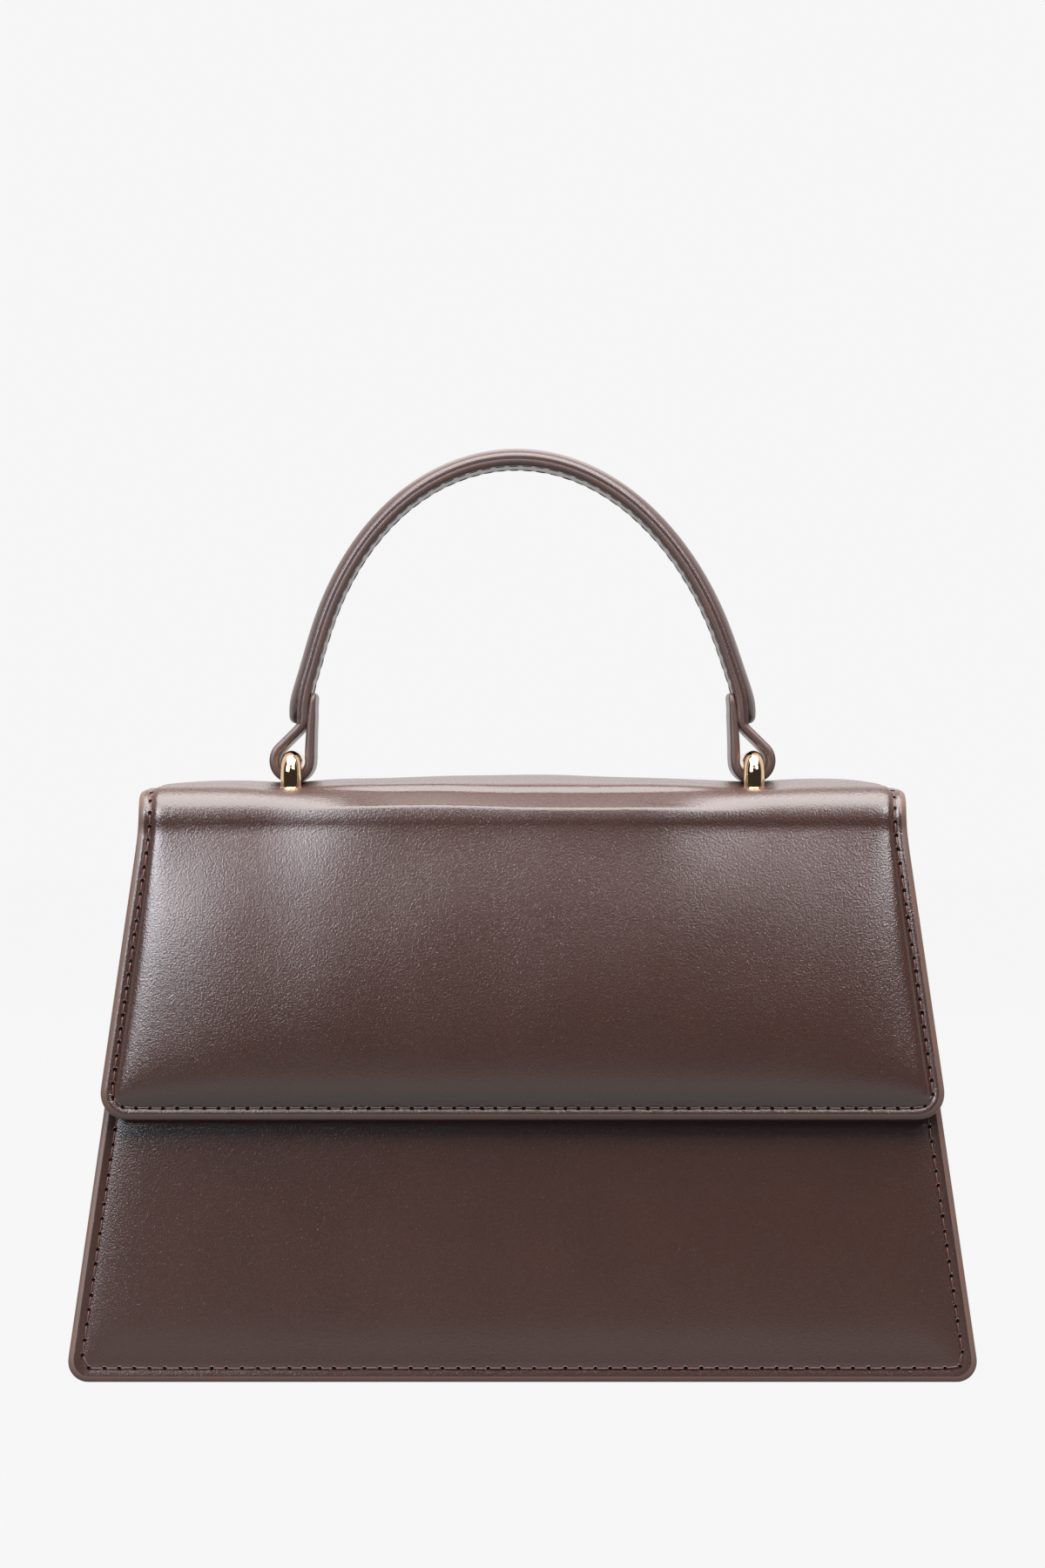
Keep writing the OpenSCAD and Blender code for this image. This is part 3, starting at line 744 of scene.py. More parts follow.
def flap_crown(x, s):
    """The top's fullness: a parabola along it times bells across it."""
    side, _, back = seam_distances(x, s)
    dome = np.clip(1 - ((s - CROWN_AT) / np.where(s > CROWN_AT, 25.0, 20.0)) ** 2, 0, None)
    across = 1.0 + 2.0 * bell(x + 2, 52.0) + 1.0 * bell(x - 95, 22.0) + 0.2 * bell(x + 95, 22.0)
    return dome * filling(side, 6.0) * filling(back, 5.0) * across


print("padding in the middle of the front:", round(float(flap_padding(0.0, 100.0)), 1), "mm")

# %% [markdown]
# The fold is tired. Between the rings the leather no longer follows the arc: it runs forward
# nearly level, breaks over a soft corner and drops, and it is this corner that shows as the
# bright line along the top of the front. Towards the sides the fold stays round, with only a
# slight valley and a dent below it.

# %% The fold of the flap
MIDDLE = -2
ROUND_FROM = 34
ROUND_TO = 76
LEDGE_R = 11.7
LEDGE_TILT = 0.506
LEDGE_SAG = 1.25
SAG_AT = (41.5, 44.3)
FACE_H = 1.8
FACE_AT = 52.0
FACE_RUN = 14.0
SOFT = 0.12
VALLEY = 0.3
VALLEY_AT = 39.0
DENT = 0.8
DENT_AT = (49.8, 58.6)


def flap_sag(x, s):
    """The fold's relief. In the middle it is the lower of two heights, with a soft corner
    -w * ln(e^(-a / w) + e^(-b / w)) between them: a ledge, which stays straight where the path
    turns (r / cos(angle) - r), and a face that fades down the front. All places are distances
    from the flap's back edge, and a slow waver keeps them from lying on a straight line."""
    waver = 0.35 * np.sin(x / 21.0) + 0.15 * np.sin(x / 9.3 + 1.0)
    place = s - waver
    outer = ease(np.abs(x - MIDDLE), ROUND_FROM, ROUND_TO)
    angle = np.clip((place - flap_fold.run) / flap_fold.radius, 0, 1.4)
    ledge = LEDGE_R * (1 / np.cos(np.clip(angle - LEDGE_TILT, 0, 0.9)) - 1)
    ledge = ledge - LEDGE_SAG * ease(place, *SAG_AT)
    face = FACE_H * np.exp(-(place - FACE_AT) / FACE_RUN)
    corner = -SOFT * np.logaddexp(-ledge / SOFT, -face / SOFT)
    valley = VALLEY * bell(place - VALLEY_AT, 2.2)
    dent = DENT * face * ease(place, *DENT_AT)
    return (1 - outer) * corner - outer * (valley + dent)


print("the fold runs from", flap_fold.run, "to", round(flap_fold.run + flap_fold.arc, 1), "mm")

# %% [markdown]
# Along its edge the flap has a low rim, the groove where the thread pulls the leather down,
# and dips under the rings' feet. A faint ripple keeps the reflections alive. The finished
# skin stands for three imported solids.

# %% The flap's skin
FLAP_T = 2.9
RIM = 0.34
GROOVE = 0.5
DIP = 1.9
RING_X = 68.5
RING_FEET = (-14.94, 11.66)


def flap_lift(x, s):
    """Height of the flap's skin over the flat sheet, in millimetres: all its parts, added."""
    edge = fold_distance(x, s, flap_fold, FLAP_OVER, FLAP_CORNER)
    rim = RIM * ease(edge, 0.6, 2.5)
    groove = -GROOVE * bell(edge - STITCH_IN, 0.9)
    y = flap_fold.at(s)[0]
    feet = sum(bell(np.hypot(np.abs(x) - RING_X, y - foot), 10.0) for foot in RING_FEET)
    dips = -DIP * np.clip(feet, 0, 1.1)
    ripple = 0.10 * np.sin(x / 11.0 + s / 19.0) * np.sin(s / 13.0 + 0.7) + 0.06 * np.sin(x / 5.1)
    relief = flap_padding(x, s) + flap_crown(x, s) + flap_sag(x, s) + rim + groove + dips
    return relief + ripple * ease(edge, 4.0, 9.0)


flap_rows = flap_fold.rows(0.5, FLAP_CORNER)
flap_skin = sheet(
    "flap_skin", columns, flap_rows, flap_half,
    lambda inset: (inset, flap_fold.length - inset),
    flap_fold.place, (0.0, FLAP_T), flap_lift, [flap_calf, flap_calf, body_edge],
)
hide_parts("flap_leather", "flap_padding", "top_leather")
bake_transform(flap_skin)

# %% [markdown]
# Inside the flap a thinner microfibre lining meets the leather at the edge, where both are
# cut together and painted. Its nap scatters light, so that it looks matt and a little pale
# at a slant. It is a sheet of its own under the same path.

# %% Flap lining
NAP = 0.9
CLOUD = 16.7
FLAP_LINING_T = 0.8
THIN_WALL = np.array([0, 0.2, 0.5, 0.8, 1.0])


def fabric(name, colour):
    """Microfibre lining: a nap of fine noise on a clouded colour, matt, with some sheen."""
    material, tree = new_material(name)
    coord = add_node(tree, "ShaderNodeTexCoord").outputs["Object"]
    tone = mottled(tree, coord, colour, CLOUD, 0.9, 1.1)
    nap = grained(tree, coord, NAP, 0.1, strength=0.5, detail=3.0)
    shader = add_node(
        tree, "ShaderNodeBsdfPrincipled", {"Base Color": tone, "Normal": nap},
        roughness=0.85, sheen_weight=0.25,
    )
    add_node(tree, "ShaderNodeOutputMaterial", {"Surface": shader.outputs[0]})
    return material


def flat_lift(x, s):
    """No relief: the sheet keeps to its path."""
    return 0 * (x + s)


lining_cloth = fabric("microfibre_lining", "#6B5446")
flap_lining_sheet = sheet(
    "flap_lining_sheet", columns, flap_rows,
    folded_half(flap_fold, FLAP_OVER - 0.2, FLAP_CORNER),
    lambda inset: (inset + 0.2, flap_fold.length - 0.2 - inset),
    flap_fold.place, (FLAP_T, FLAP_T + FLAP_LINING_T), flat_lift,
    [lining_cloth, lining_cloth, body_edge], edge=0.2, wall=THIN_WALL,
)
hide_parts("flap_lining", "top_lining")
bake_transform(flap_lining_sheet)

# %% [markdown]
# ## The panels
#
# The back panel turns over the back fold and runs under the flap's leather, where one seam
# holds both. Its leather is glued to a board, so its relief is slight: a swell between the
# seams and the furrow of the stitches.

# %% Back panel
PANEL_T = 1.6
PANEL_STITCH_IN = 4.0
FURROW = 0.16
FURROW_W = 0.7
BACK_SWELL = 0.7


def seam_groove(edge):
    """The furrow that a row of stitches pulls into a panel's leather."""
    return -FURROW * bell(edge - PANEL_STITCH_IN, FURROW_W)


def back_lift(x, s):
    """A slight swell between the seams, the furrow of the stitches and a faint waver."""
    edge = fold_distance(x, s, back_fold, 0.0, CORNER)
    inside = edge - PANEL_STITCH_IN
    swell = BACK_SWELL * filling(inside, 14.0) * ease(s, 14.0, 45.0)
    waver = 0.12 * np.sin(x / 31.0 + 0.4) * np.sin(s / 27.0)
    return seam_groove(edge) + swell + waver * filling(inside, 9.0)


back_skin = sheet(
    "back_skin", columns, back_fold.rows(0.6, CORNER), back_half,
    lambda inset: (inset, back_fold.length - inset),
    back_fold.place, (0.0, PANEL_T), back_lift, [panel_calf, lining_cloth, body_edge],
)
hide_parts("back_panel", "hinge_strip")
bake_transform(back_skin)

# %% [markdown]
# The front panel stands alone, flat over its board. Along its foot the leather rolls over
# the board's edge in about eight millimetres, and that roll catches the light.

# %% Front panel
FRONT_TOP = 158.0
FRONT_ROLL = 0.75
FRONT_SWELL = 0.15
FRONT_RIM = 0.15
front_length = FRONT_TOP / math.cos(LEAN)


def leaning_place(side):
    """Places points on a panel's outer plane: side is -1 for the front and 1 for the back."""
    def place(x, s, lift):
        y = side * (BASE_D / 2 - s * math.sin(LEAN) + lift * math.cos(LEAN))
        z = s * math.cos(LEAN) + lift * math.sin(LEAN)
        return np.stack(np.broadcast_arrays(x, y, z), -1)
    return place


def front_half(s, inset):
    """Half the front panel's width: the bag's side line with round bottom corners."""
    wide = half_width(s * math.cos(LEAN)) - inset / SIDE_COS
    return corner_half(wide, s - inset, CORNER - inset)


def front_lift(x, s):
    """The roll at the foot, a swell over the board that ends under the flap, the stitches'
    furrow, a low rim outside it and a faint waver."""
    side = (half_width(s * math.cos(LEAN)) - np.abs(x)) * SIDE_COS
    edge = round_distance(side, s, CORNER)
    inside = edge - PANEL_STITCH_IN
    roll = FRONT_ROLL * filling(s - PANEL_STITCH_IN, 8.0, 2)
    swell = (roll + FRONT_SWELL) * filling(inside, 5.0) * (1 - ease(s, 110.0, 150.0))
    waver = 0.10 * np.sin(x / 33.0) * np.sin(s / 24.0 + 0.5)
    rim = FRONT_RIM * bell(edge - 1.6, 1.2)
    return seam_groove(edge) + swell + rim + waver * filling(inside, 9.0)


corner_rows = CORNER * (1 - np.cos(np.linspace(0, math.pi / 2, 13)))
upper_rows = CORNER + graded(0.0, front_length - CORNER, 0.6, 3.0, most=3.0)[1:]
front_skin = sheet(
    "front_skin", columns, np.concatenate([corner_rows, upper_rows]) / front_length,
    front_half, lambda inset: (inset, front_length - inset),
    leaning_place(-1), (0.0, PANEL_T), front_lift, [panel_calf, lining_cloth, body_edge],
)
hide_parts("front_panel")
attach(front_skin, "bag_body")

# %% [markdown]
# ## Gussets and base
#
# Gussets, base and linings are thin and their edges hardly show, so a simpler shell serves
# them: a grid of points, the same grid moved in along its normals, and one ring between.

# %% Shell from one grid
EDGE_BULGE = 0.25


def shell(name, points, thickness, materials):
    """A closed sheet under a grid of points: the inner face is points - normal * thickness,
    and a ring of points half way through bulges out a little, as a round edge."""
    rows, cols = points.shape[:2]
    count = rows * cols
    down = np.gradient(points, axis=0)
    normals = unit(np.cross(np.gradient(points, axis=1), down))
    inner = points - normals * thickness
    middle = (points + inner) / 2
    ids = border(rows, cols)
    rim = middle.reshape(-1, 3)[ids]
    side = unit(np.cross(np.roll(rim, -1, 0) - np.roll(rim, 1, 0), normals.reshape(-1, 3)[ids]))
    out = rim - middle[rows // 2, cols // 2]
    side = side * np.sign(np.einsum("ij,ij->i", side, out))[:, None]
    ring = rim + side * EDGE_BULGE * thickness
    everything = np.concatenate([points.reshape(-1, 3), inner.reshape(-1, 3), ring])
    ring_ids = 2 * count + np.arange(len(ids))
    quads = [grid_quads(rows, cols), grid_quads(rows, cols, count, flip=True),
             strip_quads(ring_ids, ids), strip_quads(ids + count, ring_ids)]
    marks = np.repeat([0, 1, 2, 2], [len(q) for q in quads])
    quads = outward(name, everything, np.concatenate(quads))
    return new_piece(name, everything, quads, materials, marks)


print("a shell's edge bulges by", EDGE_BULGE, "of its thickness")

# %% [markdown]
# Each side gusset is a strip with a flange on either panel. It is not flat: the strip folds
# softly inwards along its middle, more at the top than at the base, so that the bag can
# close. A section across it, worked out for every height at once, holds flange, bend and
# fold in one line.

# %% Gussets
GUSSET_IN = 7.0
GUSSET_T = 1.2
GUSSET_TOP = 154.0
BASE_Z = 7.0
FOLD_DEEP = 12.0
FOLD_GROWTH = 1.16
CREASE = 0.22
BEND_R = 2.6
GLUE_LINE = 0.05
GUSSET_FACES = [gusset_calf, lining_cloth, body_edge]


def channel(web_at, wide, deep, bend, fold):
    """Section of a channel for arrays of heights: out along a flange, round a bend, across
    the web with its fold (a squared cosine), and back out. Gives (out, across) arrays."""
    share = np.linspace(-1, 1, 49)
    angles = np.linspace(0, math.pi / 2, 9)
    ends = np.linspace(1, 0, 6)[:-1]
    half = (deep - bend)[:, None]
    web_y = half * share
    web_x = web_at[:, None] - fold[:, None] * np.cos(math.pi / 2 * web_y / deep[:, None]) ** 2
    arc_y = half + bend * np.sin(angles)
    arc_x = web_at[:, None] + bend * (1 - np.cos(angles)) + 0 * half
    edge_x = web_at[:, None] + bend + (wide - web_at - bend)[:, None] * ends
    edge_y = deep[:, None] + 0 * edge_x
    x = np.concatenate([edge_x, arc_x[:, :0:-1], web_x, arc_x[:, 1:], edge_x[:, ::-1]], 1)
    y = np.concatenate([-edge_y, -arc_y[:, :0:-1], web_y, arc_y[:, 1:], edge_y[:, ::-1]], 1)
    return x, y


def gusset_points(side, low, inset, flange, panel_depth):
    """The visible face of a gusset or of its lining. Its fold grows with the height by a
    smooth step, which reaches FOLD_DEEP at the top, and shallow creases cross it there."""
    z = low + graded(0.0, GUSSET_TOP - low, 0.8, 3.0, most=3.2)
    fold = FOLD_DEEP * FOLD_GROWTH * ease(z, BASE_Z, GUSSET_TOP + 40.0)
    deep = panel_y(z, -panel_depth) - GLUE_LINE
    web = half_width(z) - inset
    x, y = channel(web, web + flange, deep, BEND_R, fold)
    across = np.cos(math.pi / 2 * y / deep[:, None])
    creases = CREASE * np.sin(z[:, None] / 6.3 + 0.11 * y) * across
    x = x + creases * ease(z, 40.0, 140.0)[:, None]
    points = np.stack([side * x, y, z[:, None] + 0 * x], -1)
    return points[:, ::-1] if side < 0 else points


for side, word in SIDES:
    gusset_face = gusset_points(side, BASE_Z + 1.2, GUSSET_IN, GUSSET_IN - 0.4, PANEL_T)
    gusset_skin = shell(word + "_gusset_skin", gusset_face, GUSSET_T, GUSSET_FACES)
    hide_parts(word + "_gusset")
    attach(gusset_skin, "bag_body")

# %% [markdown]
# Below, the base is a channel of the same leather, whose flanges hold the panels. Its web is
# raised, so that the bag stands on the panels' edges and its underside doesn't scuff.

# %% Base
web_half = half_width(BASE_Z) - GUSSET_IN - 0.2
base_x = graded(-web_half, web_half, 1.0, 4.0, most=6.0)
base_deep = np.full(len(base_x), panel_y(BASE_Z, -PANEL_T) - GLUE_LINE)
base_foot = np.full(len(base_x), -0.35)
down, across = channel(
    np.full(len(base_x), -BASE_Z), base_foot, base_deep, BEND_R, np.zeros(len(base_x)),
)
base_y = across + LEAN_K * (BASE_Z + down) * np.sign(across)
base_points = np.stack([base_x[:, None] + 0 * down, base_y, -down], -1)
base_skin = shell("base_skin", base_points, GUSSET_T, GUSSET_FACES)
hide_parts("base_gusset")
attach(base_skin, "bag_body")

# %% [markdown]
# ## Linings
#
# Inside, thin linings cover the boards. They are glued only along their edges and so are a
# little slack. A flat sheet would look like the board itself, so each has a shallow wave.

# %% Inside
INNER_T = 3.4
LINING_T = 0.8
LINING_FACES = [lining_cloth] * 3


def waves(x, s, size, seed):
    """Slack in a lining: three crossed waves, 50 to 95 mm long, added and scaled."""
    rng = np.random.default_rng(seed)
    turn = rng.uniform(0, 2 * math.pi, 3)
    wave = np.sin(x / 17 + s / 31 + turn[0]) + np.sin(x / 41 - s / 13 + turn[1])
    return size * (wave + np.sin(x / 9 - s / 22 + turn[2])) / 3


def panel_lining(name, side, top, replaced):
    """A lining on a panel's inner side, from the base board up to a height. Its slack fades
    towards all four edges."""
    v = graded(0.0, 1.0, 0.006, 0.03, most=0.02)
    u = graded(-1.0, 1.0, 0.004, 0.03, most=0.025)
    low = 8.2
    inset = 8.5 + FOLD_DEEP * INNER_T / (TOP_D / 2)
    s = ((low + v * (top - low)) / math.cos(LEAN))[:, None] + 0 * u[None, :]
    x = u[None, :] * (half_width(s * math.cos(LEAN)) - inset / SIDE_COS)
    fade = np.minimum(v * 12, 1) * np.minimum((1 - v) * 12, 1)
    slack = (waves(x, s, 0.18, len(name)) - 0.15) * (1 - np.abs(u) ** 6) * fade[:, None]
    points = leaning_place(side)(x, s, -INNER_T + slack)
    if side < 0:
        points = points[:, ::-1]
    piece = shell(name, points, LINING_T, LINING_FACES)
    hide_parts(replaced)
    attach(piece, "bag_body")


panel_lining("front_lining_sheet", -1, FRONT_TOP - 0.4, "front_lining")
panel_lining("back_lining_sheet", 1, 160.5, "back_lining")

for side, word in SIDES:
    lining_face = gusset_points(side, 10.6, GUSSET_IN + GUSSET_T + 0.35, 2.7, INNER_T + 0.3)
    gusset_lining = shell(
        word + "_gusset_lining_sheet", lining_face, LINING_T, LINING_FACES,
    )
    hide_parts(word + "_gusset_lining")
    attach(gusset_lining, "bag_body")

floor_x = graded(-1.0, 1.0, 0.01, 0.06, most=0.04) * (half_width(9.7) - 9.8)
floor_y = graded(-1.0, 1.0, 0.03, 0.10, most=0.10) * (panel_y(9.7, -INNER_T) - 0.35)
floor_grid = np.stack(np.meshgrid(floor_x, floor_y), -1)
floor_z = 10.5 + waves(floor_grid[..., 0], floor_grid[..., 1], 0.12, 5)[..., None]
base_lining = shell(
    "base_lining_sheet", np.concatenate([floor_grid, floor_z], -1), LINING_T, LINING_FACES,
)
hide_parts("base_lining")
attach(base_lining, "bag_body")

# %% [markdown]
# A slip pocket hangs on the front lining here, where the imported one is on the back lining.
# Its three sewn sides lie flat, and its open upper edge gapes by a little over a millimetre.

# %% Slip pocket
POCKET_W = 120.0
POCKET_H = 75.0
POCKET_LOW = 55.5
POCKET_T = 0.9
GAPE = 1.3
pocket_u = graded(-1.0, 1.0, 0.01, 0.05, most=0.05)
pocket_v = graded(0.0, 1.0, 0.012, 0.05, most=0.04)
pocket_x = pocket_u[None, :] * POCKET_W / 2 + 0 * pocket_v[:, None]
pocket_s = (POCKET_LOW + pocket_v[:, None] * POCKET_H) / math.cos(LEAN) + 0 * pocket_x
gape = GAPE * (1 - np.abs(pocket_u[None, :]) ** 4) * ease(pocket_v[:, None], 0.05, 1.0)
pocket_points = leaning_place(-1)(pocket_x, pocket_s, -INNER_T - 1.15 - gape)
slip_pocket = shell(
    "slip_pocket_sheet", pocket_points[:, ::-1], POCKET_T, [lining_cloth, lining_cloth, body_edge],
)
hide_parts("slip_pocket")
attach(slip_pocket, "bag_body")

# %% [markdown]
# ## Seams
#
# A machine's lockstitch shows as short loops of waxed thread, each from one awl hole to the
# next, pulled down at both ends. An image could show them, but only raised thread glints and
# throws its small shadow.
#
# The thread is waxed polyester, twisted from plies a quarter of a millimetre wide: they show
# as light and dark flecks under a soft shine. The holes are painted shade: a nearly black
# material that returns no shine at all stands in for the shadow inside each hole.

# %% Thread
PLY = 0.238


def thread(name, colour, rough, ior):
    """Waxed polyester thread: a colour flecked by its plies, with a soft shine. The same
    nodes, rough and with an IOR near 1, give the painted shade that stands for a hole's inside."""
    material, tree = new_material(name)
    coord = add_node(tree, "ShaderNodeTexCoord").outputs["Object"]
    tone = mottled(tree, coord, colour, PLY, 0.7, 1.3, detail=1.0)
    shader = add_node(
        tree, "ShaderNodeBsdfPrincipled", {"Base Color": tone}, roughness=rough, ior=ior,
    )
    add_node(tree, "ShaderNodeOutputMaterial", {"Surface": shader.outputs[0]})
    return material


body_thread = thread("waxed_polyester_thread", "#6B4036", rough=0.42, ior=1.5)
# a nearly black, matt colour: painted shade for the inside of the stitch holes
hole_painted_shade = thread("painted_shade_awl_hole", "#1C110F", rough=1.0, ior=1.02)
print("thread materials:", body_thread.name, hole_painted_shade.name)

# %% [markdown]
# Each loop of thread is a closed tube of a few dozen faces, and each hole a crater with the
# lip that the awl raises, whose inner walls and top are a dark painted shade instead of an
# opening. Both are stacks of rings of points, and all the stacks of a row are made at once
# as arrays.

# %% Tubes
def ring_stack(centres, side, up, wide, high, sides, first, marks):
    """Closed tubes. centres are (n, k, 3), side and up (n, 3), wide and high (n, k): rings of
    points joined along k, capped with quads. marks are the materials of the k - 1 walls and
    of the last cap. Gives points, quads, their marks and the next free number."""
    n, k = centres.shape[:2]
    turn = np.linspace(0, 2 * math.pi, sides, endpoint=False)
    ring = (side[:, None, None, :] * (np.cos(turn)[:, None] * wide[..., None, None])
            + up[:, None, None, :] * (np.sin(turn)[:, None] * high[..., None, None]))
    points = (centres[:, :, None, :] + ring).reshape(-1, 3)
    index = first + np.arange(n * k * sides).reshape(n, k, sides)
    following = np.roll(index, -1, axis=2)
    walls = np.stack([index[:, :-1], index[:, 1:], following[:, 1:], following[:, :-1]], -1)
    i = np.arange(sides // 2 - 1)
    cap = np.stack([i, i + 1, sides - 2 - i, sides - 1 - i], -1)
    start = index[:, 0][:, cap]
    stop = index[:, -1][:, cap[:, ::-1]]
    quads = np.concatenate([walls.reshape(-1, 4), start.reshape(-1, 4), stop.reshape(-1, 4)])
    wall_marks = np.broadcast_to(np.array(marks[:-1])[None, :, None], (n, k - 1, sides))
    caps = len(i) * n
    every = np.concatenate([wall_marks.ravel(), np.full(caps, marks[0]), np.full(caps, marks[-1])])
    return points, quads, every, first + n * k * sides


def lengths(points):
    """The length along a line up to each of its points."""
    return np.concatenate([[0], np.cumsum(np.linalg.norm(np.diff(points, axis=0), axis=1))])


def along(places, run, points):
    """The points of a line at given lengths, with run the length up to each point."""
    return np.stack([np.interp(places, run, column) for column in points.T], -1)


print("length of a line of 3 and 4:", lengths(np.array([[0.0, 0.0], [3.0, 4.0]]))[-1])

# %% [markdown]
# A machine's seam isn't quite even either: spacing, height, width and slant of its stitches
# waver by a few per cent. The numbers come from a seeded generator, so that each run gives
# the same seam.

# %% Stitches
THREAD_W = 0.25
THREAD_H = 0.22
STATIONS = np.array([0.11, 0.16, 0.25, 0.42, 0.60, 0.76, 0.85, 0.90])
STATION_SIZE = np.array([0.4, 0.8, 1.0, 1.0, 1.0, 1.0, 0.8, 0.4])
LOOP_RISE = 0.30
LOOP_PULL = 0.40
PITCH_WAVER = 0.06
LIP_R = np.array([1.15, 1.02, 0.86, 0.74, 0.64, 0.35])
LIP_H = np.array([-0.35, 0.02, 0.19, 0.23, 0.16, 0.14])
HOLE_NARROW = 0.8


def stitch_row(points, normals, pitch, seed, first=0, turn=0.0, wide=1.0):
    """Threads and holes along a dense line of points on a surface with its normals. A thread
    rises by LOOP_RISE - LOOP_PULL * (2 t - 1)^4 from hole to hole. Each hole is a crater of
    rings LIP_R wide and LIP_H high, leather outside and dark painted shade in its middle.
    turn slants the holes and wide scales everything."""
    rng = np.random.default_rng(seed)
    run = lengths(points)
    count = max(int(round(run[-1] / pitch)), 2)
    steps = 1 + rng.uniform(-PITCH_WAVER, PITCH_WAVER, count)
    at = np.cumsum(np.concatenate([[0.0], steps]))
    at = at / at[-1] * run[-1]
    holes = along(at, run, points)
    up = unit(along(at, run, normals))
    ahead = holes[1:] - holes[:-1]
    up_mid = unit(up[1:] + up[:-1])
    side = unit(np.cross(unit(ahead), up_mid))
    t = STATIONS
    sag = (rng.uniform(-0.10, 0.10, (count, 1)) * np.sin(math.pi * t))[..., None]
    rise = wide * (LOOP_RISE - LOOP_PULL * (2 * t - 1) ** 4)
    rise = rise * (1 + rng.uniform(-0.15, 0.15, (count, 1)))
    path = (holes[:-1, None] * (1 - t)[:, None] + holes[1:, None] * t[:, None]
            + up_mid[:, None] * rise[..., None] + side[:, None] * sag)
    grow = (1 + rng.uniform(-0.10, 0.10, (count, 1))) * STATION_SIZE * wide
    tubes, quads, marks, last = ring_stack(
        path, side, up_mid, THREAD_W * grow, THREAD_H * grow, 6, first, [0] * len(t),
    )
    level = unit(np.cross(unit(np.concatenate([ahead, ahead[-1:]])), up))
    forward = np.cross(up, level)
    slant = (turn + rng.uniform(-0.15, 0.15, len(holes)))[:, None]
    long_way = forward * np.cos(slant) + level * np.sin(slant)
    rings = (1 + rng.uniform(-0.12, 0.12, (count + 1, 1))) * wide * LIP_R
    lips = holes[:, None] + up[:, None] * (wide * LIP_H[:, None])
    # crater rings: three outer walls of leather, then inner walls and top cap of dark painted
    # shade for the hole
    dots, dot_quads, dot_marks, last = ring_stack(
        lips, long_way, np.cross(up, long_way), rings, rings * HOLE_NARROW, 10, last,
        [1, 1, 1, 2, 2, 2],
    )
    return (np.concatenate([tubes, dots]), np.concatenate([quads, dot_quads]),
            np.concatenate([marks, dot_marks]), last)


def stitch_piece(name, rows, leather_there):
    """One object from several rows: each is (points, normals, pitch, seed, options)."""
    points, quads, marks, last = [], [], [], 0
    for line, normals, pitch, seed, options in rows:
        p, q, m, last = stitch_row(line, normals, pitch, seed, last, **options)
        points.append(p)
        quads.append(q)
        marks.append(m)
    points = np.concatenate(points)
    quads = outward(name, points, np.concatenate(quads))
    # material 2 is the painted shade in the middle of each hole
    materials = [body_thread, leather_there, hole_painted_shade]
    return new_piece(name, points, quads, materials, np.concatenate(marks), sharp=70.0)


def on_surface(place, lift, x, s):
    """Points and outward normals of a relief surface along a line of x and s: the normal is
    the cross product of two short steps, drawn a little towards the flat sheet's."""
    step = 0.05
    base = place(x, s, lift(x, s))
    across = place(x + step, s, lift(x + step, s)) - base
    ahead = place(x, s + step, lift(x, s + step)) - base
    normals = unit(np.cross(across, ahead))
    flat = unit(place(x, s, 1.0 + 0 * s) - place(x, s, 0.0 * s))
    facing = np.sign(np.einsum("ij,ij->i", normals, flat))[:, None]
    return base, unit(normals * facing + 0.6 * flat)


print("a thread is", 2 * THREAD_W, "mm wide and a hole", 2 * LIP_R[2], "mm inside its lip")

# %% [markdown]
# The flap's seam runs down one side, round the hem and up again, and a second row joins its
# back edge to the back panel. Both follow the relief, so that the thread lies in its groove.

# %% Flap seam
BACK_SEAM_POINTS = 300
FLAP_PITCH = 4.0


def u_line(half, length, inset, corner, start):
    """x and s of a line that runs down one side of a skin, round its foot and up again."""
    side_s = np.arange(start, length - corner, 0.5)
    turn = np.linspace(0, math.pi / 2, 24)
    corner_s = length - corner + (corner - inset) * np.sin(turn)
    s = np.concatenate([side_s, corner_s])
    x = half(s, inset)
    foot_x = np.linspace(x[-1], -x[-1], 400)[1:-1]
    return (np.concatenate([x, foot_x, -x[::-1]]),
            np.concatenate([s, np.full(len(foot_x), length - inset), s[::-1]]))


x_line, s_line = u_line(flap_half, flap_fold.length, STITCH_IN, FLAP_CORNER, STITCH_IN)
flap_u = on_surface(flap_fold.place, flap_lift, x_line, s_line)
back_x = np.linspace(-x_line[0], x_line[0], BACK_SEAM_POINTS)
back_s = np.full(BACK_SEAM_POINTS, STITCH_IN)
back_seam = on_surface(flap_fold.place, flap_lift, back_x, back_s)
flap_stitches = stitch_piece(
    "flap_stitches", [(*flap_u, FLAP_PITCH, 3, {}), (*back_seam, FLAP_PITCH, 4, {})], flap_calf,
)
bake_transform(flap_stitches)

# %% [markdown]
# The panels are sewn with a slightly longer stitch whose holes slant. The front panel's
# distances run up from its foot, so its line is made upside down and turned over.

# %% Panel seams
PANEL_PITCH = 4.4
x_line, s_line = u_line(back_half, back_fold.length, PANEL_STITCH_IN, CORNER, 24.0)
back_line = on_surface(back_fold.place, back_lift, x_line, s_line)
back_stitches = stitch_piece(
    "back_stitches", [(*back_line, PANEL_PITCH, 5, {"turn": 0.3})], panel_calf,
)
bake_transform(back_stitches)


def front_half_down(s, inset):
    """The front panel's half width for s measured down from its top."""
    return front_half(front_length - s, inset)


x_line, s_down = u_line(front_half_down, front_length, PANEL_STITCH_IN, CORNER, 3.0)
front_line = on_surface(leaning_place(-1), front_lift, x_line, front_length - s_down)
front_stitches = stitch_piece(
    "front_stitches", [(*front_line, PANEL_PITCH, 6, {"turn": 0.35, "wide": 0.9})],
    panel_calf,
)
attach(front_stitches, "bag_body")

# %% [markdown]
# ## Handle
#
# The handle is one strap whose ends fold round the rings' bars and come back up on the
# inner side, where they are stitched. A padded cover on its outer face ends in two rounded
# tapers. A curve object with a bevel profile could draw them, but the section changes along
# the way. So a section is swept along a path as arrays, and one function makes the strap,
# its cover and the rings.

